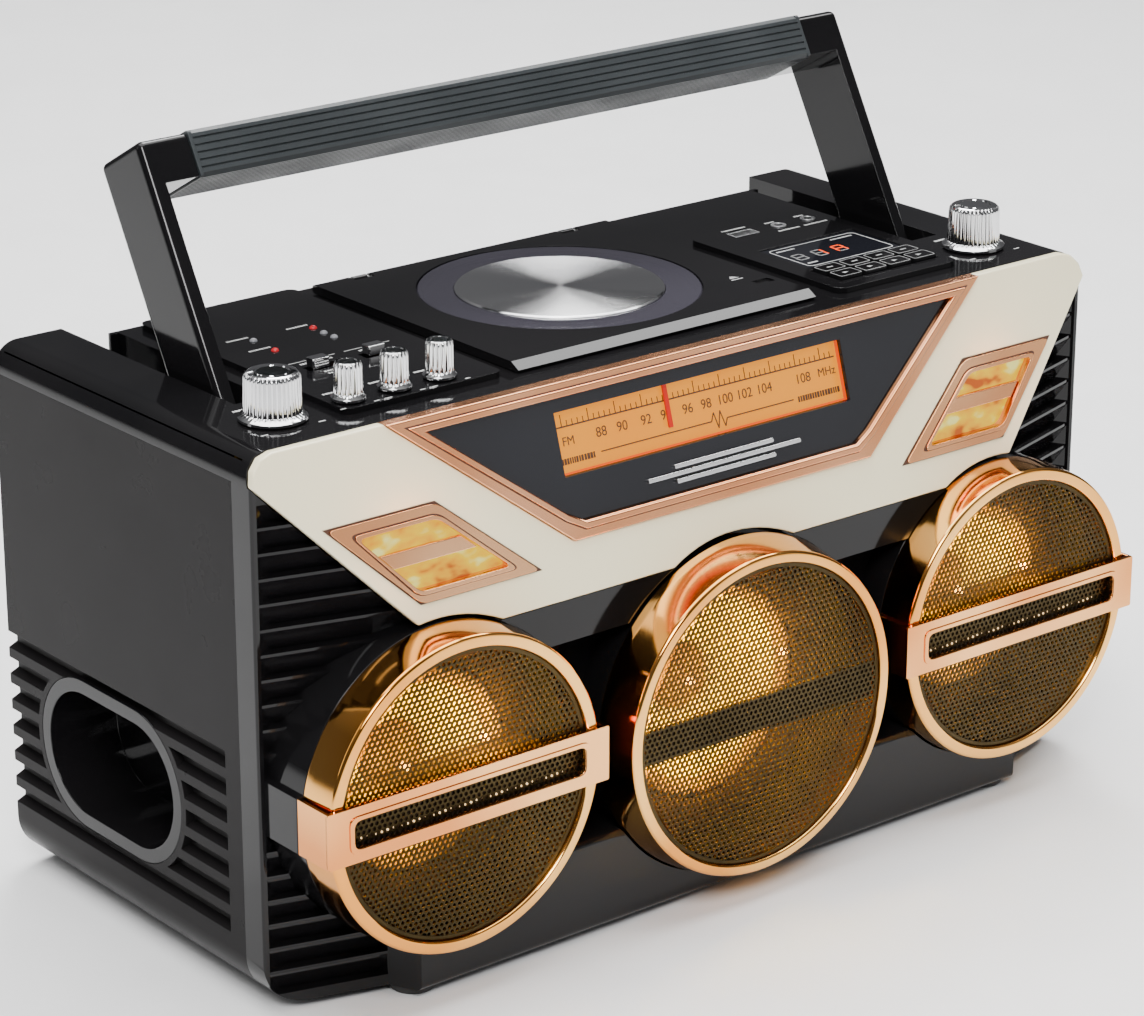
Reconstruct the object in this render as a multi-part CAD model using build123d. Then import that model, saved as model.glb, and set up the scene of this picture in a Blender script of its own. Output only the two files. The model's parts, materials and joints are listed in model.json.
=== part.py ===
from build123d import *
import math
import os

os.makedirs("parts", exist_ok=True)

# ---------------------------------------------------------------- driving dimensions (mm)
# X runs to the right seen from the front, Y to the back, Z up.  Everything is laid out with
# Y = 0 at the front edge of the side walls; export() moves it so that the middle of the
# object's box lies over the origin.
WIDTH = 430.0
HALF = WIDTH / 2
DEPTH = 177.0
BODY_BOTTOM = 4.0
DECK_TOP = 226.0
TOP_SEAM = 214.5
FRONT_SEAM = 11.0
CORNER_RADIUS = 18.0
DECK_EDGE_RADIUS = 11.0
WALL = 3.0
SIDE_WALL = 7.0

# leaning upper front: the plane of the ivory V panel
V_BOTTOM = 146.5
V_LEAN_PER_MM = 24.0 / (DECK_TOP - V_BOTTOM)
V_THICK = 4.0
SHELL_BEHIND_V = 7.0

# flanks and lower front
FLANK_OUTER_X = 212.5
FLANK_INNER_X = 150.0
FLANK_FORWARD = 18.1
LOUVRE_PITCH = 10.0
LOUVRE_DEPTH = 5.0
LOUVRE_TOP = 208.5
LOUVRE_COUNT = 20
PANEL_FRONT = -27.0
PANEL_TOP = 43.5
STRIP_BOTTOM = 129.0
RECESS_FRONT = -8.0

# side walls
GROOVE_TOP = 100.5
GROOVE_PITCH = 11.4
GROOVE_COUNT = 7
GROOVE_DEPTH = 4.0
GROOVE_FRONT = 21.0
PORT_Y = 103.0
PORT_Z = 68.0
PORT_LENGTH = 95.0
PORT_HEIGHT = 58.0
PORT_DEPTH = 34.0

# speakers
SIDE_X = 146.0
SIDE_Z = 87.4
SIDE_MESH_R = 58.4
SIDE_MESH_Y = -38.0
MID_Z = 82.0
MID_MESH_R = 63.1
MID_MESH_Y = -42.0
SIDE_POD_R = 64.5
MID_POD_R = 68.0
BAR_HALF = 66.6
BAR_HEIGHT = 22.7
BAR_FRONT = -42.0
FRONTMOST_Y = MID_MESH_Y - 1.8

# handle
HANDLE_LEAN = 29.0
PIVOT_Y = 72.0
PIVOT_Z = 196.0
ARM_OUTER_X = 180.8
ARM_THICK = 7.0
ARM_WIDTH = 32.0
ARM_LENGTH = 126.5
GRIP_HALF = 158.5
GRIP_HEIGHT = 18.0
PIN_RADIUS = 4.0
PIN_CLEARANCE = 0.1
CHANNEL_IN = 168.5
CHANNEL_OUT = 183.3
CHANNEL_FLOOR = 179.0
CHANNEL_FRONT = 54.5

# compact disc player
CD_X = 0.0
CD_Y = 87.0
LID_HALF = 77.5
LID_FRONT = 16.0
LID_BACK = 153.0
LID_BOTTOM = 226.4
LID_TOP = 230.0
LID_HINGE_Y = LID_BACK - 1.8
LID_HINGE_Z = 228.2
WINDOW_R = 59.0
DISC_R = 43.5
WELL_R = 62.5
WELL_FLOOR = 208.0

# controls
BIG_KNOB_X = 182.0
BIG_KNOB_Y = 31.0
BIG_KNOB_R = 11.2
BIG_KNOB_H = 19.0
TONE_X = (-151.0, -129.5, -108.0)
TONE_Y = 26.0
TONE_R = 5.7
TONE_H = 15.5
PANEL_RISE = 2.4
BUTTON_PITCH_X = 14.0
BUTTON_PITCH_Y = 9.8
BUTTON_SIZE = (12.6, 8.4)
BUTTON_FIRST = (105.5, 28.4)

# aerial, lying in the recess along the rear edge of the deck
AERIAL_X = 126.0
AERIAL_Y = 168.5
AERIAL_Z = 216.0
RECESS_HALF = 173.0

# heads of the case screws on the back wall
SCREW_HEAD = 1.4

Y_SHIFT = -(DEPTH + SCREW_HEAD + FRONTMOST_Y) / 2


# ---------------------------------------------------------------- helpers
def block(x0, x1, y0, y1, z0, z1):
    """Box from its two corners."""
    return Pos((x0 + x1) / 2, (y0 + y1) / 2, (z0 + z1) / 2) * Box(x1 - x0, y1 - y0, z1 - z0)


def rod_y(x, z, radius, y0, y1):
    """Cylinder along Y."""
    return Pos(x, (y0 + y1) / 2, z) * Rot(90, 0, 0) * Cylinder(radius, y1 - y0)


def rod_z(x, y, radius, z0, z1):
    """Cylinder along Z."""
    return Pos(x, y, (z0 + z1) / 2) * Cylinder(radius, z1 - z0)


def rod_x(y, z, radius, x0, x1):
    """Cylinder along X."""
    return Pos((x0 + x1) / 2, y, z) * Rot(0, 90, 0) * Cylinder(radius, x1 - x0)


def prism_y(outline, y0, y1):
    """Outline of (x, z) points pushed along Y."""
    wire = Polyline(*[(x, y0, z) for x, z in outline], close=True)
    return extrude(make_face(wire), amount=y1 - y0, dir=(0, 1, 0))


def prism_z(outline, z0, z1):
    """Outline of (x, y) points pushed along Z."""
    wire = Polyline(*[(x, y, z0) for x, y in outline], close=True)
    return extrude(make_face(wire), amount=z1 - z0, dir=(0, 0, 1))


def prism_x(outline, x0, x1):
    """Outline of (y, z) points pushed along X."""
    wire = Polyline(*[(x0, y, z) for y, z in outline], close=True)
    return extrude(make_face(wire), amount=x1 - x0, dir=(1, 0, 0))


def ring_y(x, z, outline):
    """Revolve (radius, y) points about the line through (x, z) along Y."""
    wire = Polyline(*[(x + r, y, z) for r, y in outline], close=True)
    return revolve(make_face(wire), axis=Axis((x, 0, z), (0, 1, 0)), revolution_arc=360)


def ring_z(x, y, outline):
    """Revolve (radius, z) points about the line through (x, y) along Z."""
    wire = Polyline(*[(x + r, y, z) for r, z in outline], close=True)
    return revolve(make_face(wire), axis=Axis((x, y, 0), (0, 0, 1)), revolution_arc=360)


def both_sides(solid):
    """A solid and its mirror image in the middle plane."""
    return [solid, mirror(solid, about=Plane.YZ)]


def v_plane(z):
    """Y of the ivory panel's front plane at height z."""
    return -V_LEAN_PER_MM * (DECK_TOP - z)


def lean_slab(front, back, z0=130.0, z1=DECK_TOP):
    """Slab parallel to the ivory panel, between two offsets behind its front plane."""
    corners = [
        (v_plane(z0) + front, z0),
        (v_plane(z1) + front, z1),
        (v_plane(z1) + back, z1),
        (v_plane(z0) + back, z0),
    ]
    return prism_x(corners, -HALF - 5, HALF + 5)


def export(name, solids):
    """Write one named node, moved so that the object's box is centred on the origin."""
    pieces = solids if isinstance(solids, list) else [solids]
    loose = [solid for piece in pieces for solid in piece.solids()]
    moved = [Pos(0, Y_SHIFT, 0) * solid for solid in loose]
    export_step(moved[0] if len(moved) == 1 else Compound(children=moved), f"parts/{name}.step")


# ---------------------------------------------------------------- casing
def body_outline(x_inset=0.0, z_inset=0.0):
    """Rounded front view of the casing, used to trim every outer shell."""
    half = HALF - x_inset
    low = BODY_BOTTOM + z_inset
    solid = block(-half, half, -60, DEPTH + 20, low, DECK_TOP + 20)
    radius = CORNER_RADIUS - max(x_inset, z_inset) / 2
    edges = [e for e in solid.edges().filter_by(Axis.Y) if e.center().Z < low + 1]
    return fillet(edges, radius)


def stadium_x(length, height, x0, x1):
    """Lying stadium on the side wall, pushed along X."""
    radius = height / 2
    shift = length / 2 - radius
    middle = block(x0, x1, PORT_Y - shift, PORT_Y + shift, PORT_Z - radius, PORT_Z + radius)
    back = rod_x(PORT_Y + shift, PORT_Z, radius, x0, x1)
    front = rod_x(PORT_Y - shift, PORT_Z, radius, x0, x1)
    return middle + back + front


def side_groove(z):
    """Trapezoid groove along the left wall at height z."""
    top_half = 4.0
    floor_half = 1.8
    corners = [
        (-HALF - 1, z - top_half),
        (-HALF - 1, z + top_half),
        (-HALF + GROOVE_DEPTH, z + floor_half),
        (-HALF + GROOVE_DEPTH, z - floor_half),
    ]
    return prism_y(corners, GROOVE_FRONT, DEPTH + 1)


def rear_cabinet():
    outer = block(-HALF, HALF, FRONT_SEAM, DEPTH, BODY_BOTTOM, TOP_SEAM) & body_outline()
    inner = block(-HALF + SIDE_WALL, HALF - SIDE_WALL, 0, DEPTH - WALL, BODY_BOTTOM + WALL, 300)
    shell = outer - (inner & body_outline(SIDE_WALL, WALL))
    keep = stadium_x(PORT_LENGTH + 12, PORT_HEIGHT + 10, -HALF - 5, -HALF + 5)
    cutters = [side_groove(GROOVE_TOP - GROOVE_PITCH * i) for i in range(GROOVE_COUNT)]
    for index, groove in enumerate(cutters):
        inside = 0 < index < GROOVE_COUNT - 1
        shell -= both_sides(groove - keep if inside else groove)
    shell -= both_sides(stadium_x(PORT_LENGTH, PORT_HEIGHT, -HALF - 5, -HALF + 12))
    shell -= both_sides(stadium_x(PORT_LENGTH + 6.2, PORT_HEIGHT + 6.2, -HALF - 5, -HALF + 1.05))
    # the handle's two channels and the handle's folded arms leave through the back wall
    gap = block(-CHANNEL_OUT - 2.7, -CHANNEL_IN + 2.7, DEPTH - 8, DEPTH + 1, CHANNEL_FLOOR - 2.2, 300)
    shell -= both_sides(gap)
    shell -= inlet_opening()
    shell -= battery_opening(0.3)
    shell += battery_box()
    shell -= block(-RECESS_HALF, RECESS_HALF, DEPTH - 18, DEPTH + 1, 206, 300)
    return shell


def inlet_opening():
    """Opening for the mains inlet in the back wall."""
    return block(120, 147, DEPTH - 6, DEPTH + 1, 30, 50)


def battery_opening(gap):
    """Opening for the battery door in the back wall."""
    return block(-80 - gap, 60 + gap, DEPTH - 6, DEPTH + 1, 28 - gap, 88 + gap)


def flank(outer_x, inner_x, back):
    """Left flank of the front shell seen from above: it runs forward towards the middle."""
    slope = FLANK_FORWARD / (FLANK_OUTER_X - FLANK_INNER_X)
    inner_y = -slope * (FLANK_OUTER_X - inner_x)
    return [(-outer_x, 0.0), (-inner_x, inner_y), (-inner_x, back), (-outer_x, back)]


def louvre_cutter():
    """Row of saw-tooth slots along the left flank, with sloping outer ends."""
    slope = FLANK_FORWARD / (FLANK_OUTER_X - FLANK_INNER_X)
    run = FLANK_OUTER_X - FLANK_INNER_X + 6
    teeth = None
    for i in range(LOUVRE_COUNT):
        crest = LOUVRE_TOP - LOUVRE_PITCH * i
        next_crest = crest - LOUVRE_PITCH
        corners = [(-1.0, crest + 0.6), (LOUVRE_DEPTH, next_crest), (-1.0, next_crest)]
        wire = Polyline(*[(-FLANK_OUTER_X, y, z) for y, z in corners], close=True)
        length = math.hypot(run, run * slope)
        tooth = extrude(make_face(wire), amount=length, dir=(run, -run * slope, 0))
        teeth = tooth if teeth is None else teeth + tooth
    # the slots start at the frame and reach their full depth a little further in
    reach = 12.0
    start = FLANK_OUTER_X - 0.6
    plan = [
        (-start, -3.0),
        (-start, 0.0),
        (-start + reach, LOUVRE_DEPTH),
        (-FLANK_INNER_X + 8, LOUVRE_DEPTH),
        (-FLANK_INNER_X + 8, -30.0),
        (-start, -30.0),
    ]
    return teeth & prism_z(plan, 0, DECK_TOP)


def front_shell():
    outline = body_outline()
    side = prism_z(flank(FLANK_OUTER_X, FLANK_INNER_X, FRONT_SEAM), BODY_BOTTOM, TOP_SEAM)
    side -= louvre_cutter()
    frame = block(-HALF, -FLANK_OUTER_X, -1.2, FRONT_SEAM, BODY_BOTTOM, TOP_SEAM)
    upright = frame.edges().filter_by(Axis.Z)
    outer_edges = [e for e in upright if e.center().Y < 0 and e.center().X < -HALF + 1]
    frame = fillet(outer_edges, 1.1)
    end_x = 160.0
    facet_x = 166.0
    slope = FLANK_FORWARD / (FLANK_OUTER_X - FLANK_INNER_X)
    facet_y = -slope * (FLANK_OUTER_X - facet_x)
    lower = prism_z(
        [
            (-facet_x, FRONT_SEAM),
            (-facet_x, facet_y),
            (-end_x, PANEL_FRONT),
            (end_x, PANEL_FRONT),
            (facet_x, facet_y),
            (facet_x, FRONT_SEAM),
        ],
        BODY_BOTTOM,
        PANEL_TOP,
    )
    front_low = [e for e in lower.edges().filter_by(Axis.X) if e.center().Y < PANEL_FRONT + 0.1]
    lower = fillet(front_low, 3.0)
    recess = block(-FLANK_INNER_X, FLANK_INNER_X, RECESS_FRONT, FRONT_SEAM, PANEL_TOP - 1, STRIP_BOTTOM + 1)
    strip_x = FLANK_INNER_X + 2
    strip = block(-strip_x, strip_x, v_plane(V_BOTTOM) + 0.6, FRONT_SEAM, STRIP_BOTTOM, V_BOTTOM)
    upper = block(-FLANK_OUTER_X, FLANK_OUTER_X, -30, FRONT_SEAM, V_BOTTOM, TOP_SEAM)
    upper &= lean_slab(SHELL_BEHIND_V, 60) & prism_y(v_outline(-0.5), -60, 60)
    shell = side + mirror(side, about=Plane.YZ) + frame + mirror(frame, about=Plane.YZ)
    shell = shell + lower + recess + strip + upper
    # room for the V panel in front of the leaning wall
    shell -= prism_y(v_outline(0.3), -60, 60) & lean_slab(-30, SHELL_BEHIND_V, 120, DECK_TOP + 10)
    # hollow inside
    inner_x = FLANK_INNER_X - 3
    low_z = BODY_BOTTOM + WALL
    inside = block(-inner_x, inner_x, RECESS_FRONT + WALL, FRONT_SEAM + 1, low_z, 147)
    inside += block(-end_x + 4, end_x - 4, PANEL_FRONT + WALL, FRONT_SEAM + 1, low_z, PANEL_TOP - WALL)
    flank_hollow = prism_z(
        [
            (-FLANK_OUTER_X + 6, 9.0),
            (-FLANK_INNER_X - 2, -FLANK_FORWARD + 9.0),
            (-FLANK_INNER_X + 4, -FLANK_FORWARD + 9.0),
            (-FLANK_INNER_X + 4, FRONT_SEAM + 1),
            (-FLANK_OUTER_X + 6, FRONT_SEAM + 1),
        ],
        BODY_BOTTOM + 6,
        TOP_SEAM + 1,
    )
    inside += flank_hollow
    inside += mirror(flank_hollow, about=Plane.YZ)
    high = block(-FLANK_OUTER_X + 6, FLANK_OUTER_X - 6, -30, FRONT_SEAM + 1, V_BOTTOM + WALL, TOP_SEAM + 1)
    behind_shell = lean_slab(SHELL_BEHIND_V + WALL, 60, 120, DECK_TOP + 10)
    inside += high & behind_shell & prism_y(v_outline(-4), -60, 60)
    shell -= inside & body_outline(6.0, 6.0)
    # bores for the speaker pods
    for x in (-SIDE_X, SIDE_X):
        shell -= rod_y(x, SIDE_Z, SIDE_POD_R + 0.1, -60, 40)
        low = SIDE_Z - BAR_HEIGHT / 2 - 0.1
        high_z = SIDE_Z + BAR_HEIGHT / 2 + 0.1
        shell -= block(x - BAR_HALF - 0.1, x + BAR_HALF + 0.1, -60, 40, low, high_z)
        shell -= rod_y(x, SIDE_Z, SIDE_MESH_R + 6.9, -60, -20)
    shell -= rod_y(0, MID_Z, MID_POD_R + 0.1, -60, 40)
    shell -= rod_y(0, MID_Z, MID_MESH_R + 8.2, -60, -18)
    # window for the dial lamp
    shell -= block(DIAL_LEFT - 4, DIAL_RIGHT + 4, -40, 40, DIAL_BOTTOM - 4, 213)
    return shell & outline


def grown(outline, gap):
    """Convex clockwise outline with every side moved outwards by gap."""
    made = []
    for i, (x, z) in enumerate(outline):
        x0, z0 = outline[i - 1]
        x1, z1 = outline[(i + 1) % len(outline)]
        before = math.hypot(x - x0, z - z0)
        after = math.hypot(x1 - x, z1 - z)
        ax, az = -(z - z0) / before, (x - x0) / before
        bx, bz = -(z1 - z) / after, (x1 - x) / after
        scale = gap / (1 + ax * bx + az * bz)
        made.append((x + (ax + bx) * scale, z + (az + bz) * scale))
    return made


def v_outline(gap=0.0):
    """Front view of the ivory V panel."""
    outline = [
        (-HALF, 215.0),
        (-213.53, 220.5),
        (-209.5, 224.53),
        (-204.0, DECK_TOP),
        (204.0, DECK_TOP),
        (209.5, 224.53),
        (213.53, 220.5),
        (HALF, 215.0),
        (149.0, V_BOTTOM),
        (-149.0, V_BOTTOM),
    ]
    return grown(outline, gap)


BEZEL_TOP_X = 155.0
BEZEL_LOW_X = 77.5
BEZEL_LOW_Z = 167.5
GLASS_TOP_X = 136.5
GLASS_TOP_Z = 220.5
GLASS_SIDE_X = 79.0
GLASS_SIDE_Z = 178.0
GLASS_LOW_X = 71.0
GLASS_LOW_Z = 173.8


def bezel_outline(gap=0.0):
    """Outer edge of the copper dial surround."""
    outline = [
        (-BEZEL_TOP_X, DECK_TOP + 1),
        (BEZEL_TOP_X, DECK_TOP + 1),
        (BEZEL_LOW_X, BEZEL_LOW_Z),
        (-BEZEL_LOW_X, BEZEL_LOW_Z),
    ]
    return grown(outline, gap)


def glass_outline(gap=0.0):
    """Edge of the black dial window."""
    outline = [
        (-GLASS_TOP_X, GLASS_TOP_Z),
        (GLASS_TOP_X, GLASS_TOP_Z),
        (GLASS_SIDE_X, GLASS_SIDE_Z),
        (GLASS_LOW_X, GLASS_LOW_Z),
        (-GLASS_LOW_X, GLASS_LOW_Z),
        (-GLASS_SIDE_X, GLASS_SIDE_Z),
    ]
    return grown(outline, gap)


def indicator_outline(gap=0.0):
    """Outer edge of the left amber indicator's surround, a slanted four-sided shape."""
    return grown([(-188.0, 194.5), (-137.8, 194.5), (-96.0, 160.5), (-152.5, 160.5)], gap)


def indicator_opening(gap=0.0):
    """Opening of the left amber indicator."""
    return grown([(-175.7, 189.3), (-139.0, 189.3), (-109.5, 165.2), (-152.5, 165.2)], gap)


def v_panel():
    panel = prism_y(v_outline(), -60, 60) & lean_slab(0, V_THICK)
    panel -= prism_y(bezel_outline(0.1), -60, 60)
    panel -= both_sides(prism_y(indicator_outline(0.1), -60, 60))
    for x in (-SIDE_X, SIDE_X):
        panel -= rod_y(x, SIDE_Z, SIDE_MESH_R + 7.6, -60, 40)
    panel -= rod_y(0, MID_Z, MID_MESH_R + 8.6, -60, 40)
    return panel


def dial_bezel():
    frame = prism_y(bezel_outline(), -60, 60) & lean_slab(-1.6, V_THICK)
    return frame - prism_y(glass_outline(), -60, 60)


DIAL_LEFT = -75.3
DIAL_RIGHT = 73.5
DIAL_TOP = 214.5
DIAL_BOTTOM = 190.3
POINTER_X = -18.0


def dial_window():
    plate = prism_y(glass_outline(-0.1), -60, 60) & lean_slab(0.6, 2.6)
    plate -= dial_bezel()
    return plate - block(DIAL_LEFT, DIAL_RIGHT, -60, 60, DIAL_BOTTOM, DIAL_TOP)


def dial_scale():
    return block(DIAL_LEFT - 3, DIAL_RIGHT + 3, -60, 60, DIAL_BOTTOM - 3, DIAL_TOP + 2) & lean_slab(4.6, 5.8)


def dial_pointer():
    return block(POINTER_X - 0.9, POINTER_X + 0.9, -60, 60, 197.0, DIAL_TOP + 1) & lean_slab(3.0, 4.0)


def indicator_frame():
    frame = prism_y(indicator_outline(), -60, 60) & lean_slab(-1.0, V_THICK)
    frame -= prism_y(indicator_opening(), -60, 60)
    slope = (189.3 - 165.2) / (175.7 - 152.5)
    middle = 177.5
    bar_left = -152.5 - (middle - 165.2) / slope
    bar = prism_y(
        [
            (bar_left - 2.0, middle + 2.3),
            (bar_left + 38.0, middle + 2.3),
            (bar_left + 43.0, middle - 2.3),
            (bar_left + 2.5, middle - 2.3),
        ],
        -60,
        60,
    ) & lean_slab(-0.2, 1.6)
    return frame + bar


def indicator_lenses():
    lens = prism_y(indicator_opening(-0.1), -60, 60) & lean_slab(1.8, V_THICK)
    return both_sides(lens - indicator_frame())


# ---------------------------------------------------------------- deck
def top_deck():
    plate = block(-HALF, HALF, -10, DEPTH, TOP_SEAM, DECK_TOP)
    upper_edges = [e for e in plate.edges().filter_by(Axis.Y) if e.center().Z > TOP_SEAM + 1]
    plate = fillet(upper_edges, DECK_EDGE_RADIUS)
    behind_v = V_THICK + 0.2
    ahead = [(-20, 200), (-20, 240), (v_plane(240) + behind_v, 240), (v_plane(200) + behind_v, 200)]
    plate -= prism_x(ahead, -HALF - 1, HALF + 1)
    plate -= block(-HALF + WALL, HALF - WALL, 8, DEPTH - WALL, TOP_SEAM - 1, DECK_TOP - WALL)
    wall = 2.5
    trough = block(-CHANNEL_OUT - wall, -CHANNEL_IN + wall, CHANNEL_FRONT - wall, DEPTH, CHANNEL_FLOOR - 2, DECK_TOP)
    channel = block(-CHANNEL_OUT, -CHANNEL_IN, CHANNEL_FRONT, DEPTH + 1, CHANNEL_FLOOR, DECK_TOP + 5)
    deck = plate + trough + mirror(trough, about=Plane.YZ)
    deck -= both_sides(channel)
    deck -= both_sides(rod_x(PIVOT_Y, PIVOT_Z, PIN_RADIUS + 0.02, -CHANNEL_OUT - 6, -CHANNEL_IN + 6))
    # rear recess where the folded aerial lies
    recess = block(-RECESS_HALF, RECESS_HALF, 160, DEPTH + 1, 210, DECK_TOP + 5)
    ledge = block(-RECESS_HALF + 1, RECESS_HALF - 1, 158, DEPTH, 207.6, DECK_TOP)
    deck += ledge
    deck -= recess
    # post that the aerial turns on
    deck += rod_y(AERIAL_X, AERIAL_Z, 1.9, 159, AERIAL_Y + 4.2)
    # opening over the disc well
    deck -= rod_z(CD_X, CD_Y, WELL_R, 200, DECK_TOP + 5)
    # shaft holes of the knobs and openings below the two control panels
    for x in (-BIG_KNOB_X, BIG_KNOB_X):
        deck -= rod_z(x, BIG_KNOB_Y, 3.6, 200, DECK_TOP + 5)
    deck -= block(-156, -90, 22, 120, 200, DECK_TOP + 5)
    deck -= block(93.5, 156, 20, 108, 200, DECK_TOP + 5)
    # room for the dial plate behind the front edge
    dial_room = block(DIAL_LEFT - 4, DIAL_RIGHT + 4, -20, 20, 200, DIAL_TOP + 3)
    deck -= dial_room & lean_slab(-20, SHELL_BEHIND_V, 190)
    for post in lid_posts():
        deck += post
    return deck


def rounded_plate(x0, x1, y0, y1, z0, z1, radius):
    plate = block(x0, x1, y0, y1, z0, z1)
    return fillet(plate.edges().filter_by(Axis.Z), radius)


SWITCH_X = (-133.0, -106.5)
SWITCH_Y = 66.0
LED_PLACES = ((-137.0, 109.0), (-137.5, 93.5), (-109.0, 108.0), (-109.5, 100.0), (-109.5, 93.0))
PANEL_TOP_Z = DECK_TOP + PANEL_RISE


def control_panel_left():
    panel = rounded_plate(-159, -84, 17, 158, DECK_TOP, PANEL_TOP_Z, 4.0)
    for x in TONE_X:
        panel -= rod_z(x, TONE_Y, 3.2, 200, 240)
    for x in SWITCH_X:
        panel -= block(x - 9, x + 9, SWITCH_Y - 3, SWITCH_Y + 3, 200, 240)
    for x, y in LED_PLACES:
        panel -= rod_z(x, y, 1.7, 200, 240)
    return panel


def control_panel_right():
    panel = rounded_plate(90, 158, 15, 111, DECK_TOP, PANEL_TOP_Z, 5.0)
    panel -= block(101, 155, 45, 78, 200, 240)
    x0, y0 = BUTTON_FIRST
    panel -= block(x0 - 7.1, x0 + 3 * BUTTON_PITCH_X + 7.1, y0 - 5, y0 + BUTTON_PITCH_Y + 5, 200, 240)
    panel -= block(107.5, 121.5, 99.5, 106.5, 200, 240)
    for x in (134.0, 151.0):
        panel -= rod_z(x, 102.0, 3.6, 200, 240)
    return panel


def display_module():
    return rounded_plate(101.2, 154.8, 45.2, 77.8, 222.5, PANEL_TOP_Z - 0.4, 1.5)


def buttons():
    """Eight push buttons in two rows, front row first."""
    made = []
    for row in range(2):
        for column in range(4):
            x = BUTTON_FIRST[0] + BUTTON_PITCH_X * column
            y = BUTTON_FIRST[1] + BUTTON_PITCH_Y * row
            half_x = BUTTON_SIZE[0] / 2
            half_y = BUTTON_SIZE[1] / 2
            top_z = PANEL_TOP_Z + 1.4
            cap = rounded_plate(x - half_x, x + half_x, y - half_y, y + half_y, 224.6, top_z, 1.2)
            made.append(cap + rod_z(x, y, 1.5, 222.2, 225))
    return made


def key_board():
    """Circuit board below the keys, with a switch body under each."""
    board = block(94.5, 155.5, 21, 44.5, 214, 215.6)
    for row in range(2):
        for column in range(4):
            x = BUTTON_FIRST[0] + BUTTON_PITCH_X * column
            y = BUTTON_FIRST[1] + BUTTON_PITCH_Y * row
            board += block(x - 3, x + 3, y - 3, y + 3, 215.6, 220.6)
    return board


def usb_socket():
    shell = block(107.7, 121.3, 99.7, 106.3, 214, PANEL_TOP_Z)
    shell -= block(108.4, 120.6, 100.4, 105.6, 216, 240)
    return shell + block(108.9, 120.1, 103.4, 105.2, 215.5, 226.5)


def audio_jacks():
    made = []
    for x in (134.0, 151.0):
        body = rod_z(x, 102.0, 3.5, 214, PANEL_TOP_Z + 0.5)
        made.append(body - rod_z(x, 102.0, 1.78, 215.5, 240))
    return made


def panel_leds():
    return [rod_z(x, y, 1.6, 221, PANEL_TOP_Z + 0.5) for x, y in LED_PLACES]


def knob(x, y, base, radius, height, shaft):
    """Knob with a skirt, a body with a small crown and a shaft bore."""
    outline = [
        (shaft, base + 0.4),
        (radius * 1.19, base + 0.4),
        (radius * 1.19, base + 1.6),
        (radius * 1.04, base + 2.4),
        (radius * 1.0, base + 3.0),
        (radius * 0.97, base + height - 1.6),
        (radius * 0.88, base + height - 0.6),
        (radius * 0.80, base + height),
        (0.0, base + height),
        (0.0, base + height - 4),
        (shaft, base + height - 4),
    ]
    return ring_z(x, y, outline)


SHAFT_R = 3.0
SHAFT_GAP = 0.08


def volume_knob():
    return knob(-BIG_KNOB_X, BIG_KNOB_Y, DECK_TOP, BIG_KNOB_R, BIG_KNOB_H, SHAFT_R + SHAFT_GAP)


def tuning_knob():
    return knob(BIG_KNOB_X, BIG_KNOB_Y, DECK_TOP, BIG_KNOB_R, BIG_KNOB_H, SHAFT_R + SHAFT_GAP)


def tone_knob(x):
    return knob(x, TONE_Y, PANEL_TOP_Z, TONE_R, TONE_H, SHAFT_R - 0.5 + SHAFT_GAP)


def potentiometers():
    """The five rotary controls' bodies with their fixed bushes and shafts."""
    made = []
    places = [(-BIG_KNOB_X, BIG_KNOB_Y, DECK_TOP, BIG_KNOB_H, SHAFT_R)]
    places.append((BIG_KNOB_X, BIG_KNOB_Y, DECK_TOP, BIG_KNOB_H, SHAFT_R))
    for x in TONE_X:
        places.append((x, TONE_Y, PANEL_TOP_Z, TONE_H, SHAFT_R - 0.5))
    for x, y, base, height, radius in places:
        body = block(x - 6, x + 6, y - 6, y + 6, DECK_TOP - 13, DECK_TOP - 4.5)
        made.append(body + rod_z(x, y, radius, DECK_TOP - 5, base + height - 4.5))
    return made


def switch_cap(x, y_shift):
    """Chrome slide cap with a tongue below it."""
    middle_y = SWITCH_Y + y_shift
    low_z = PANEL_TOP_Z + 0.2
    cap = rounded_plate(x - 4, x + 4, middle_y - 2.6, middle_y + 2.6, low_z, low_z + 4.0, 0.8)
    return cap + block(x - 2.5, x + 2.5, SWITCH_Y - 1.6, SWITCH_Y + 1.6, DECK_TOP - 2.5, PANEL_TOP_Z + 1)


# ---------------------------------------------------------------- disc player
def cd_lid():
    """Square lid with a round opening; its rear edge is rounded about the hinge axis."""
    profile = [
        (LID_FRONT + 0.4, LID_BOTTOM),
        (LID_HINGE_Y, LID_BOTTOM),
        (LID_HINGE_Y, LID_TOP),
        (LID_FRONT + 4.6, LID_TOP),
        (LID_FRONT, LID_BOTTOM + 1.0),
    ]
    lid = prism_x(profile, CD_X - LID_HALF, CD_X + LID_HALF)
    lid += rod_x(LID_HINGE_Y, LID_HINGE_Z, 1.8, CD_X - LID_HALF, CD_X + LID_HALF)
    lid -= rod_z(CD_X, CD_Y, WINDOW_R, LID_BOTTOM + 1.0, 240)
    lid -= rod_z(CD_X, CD_Y, WINDOW_R - 3, 200, 240)
    lid -= Pos(70, 40, LID_TOP) * Box(9, 5, 1.6)
    for x in (-55, 55):
        lid -= block(x - 5, x + 5, LID_HINGE_Y - 4.4, LID_BACK + 1, 220, 240)
        lid -= rod_x(LID_HINGE_Y, LID_HINGE_Z, 1.1, x - 12.5, x + 12.5)
    return lid


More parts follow.
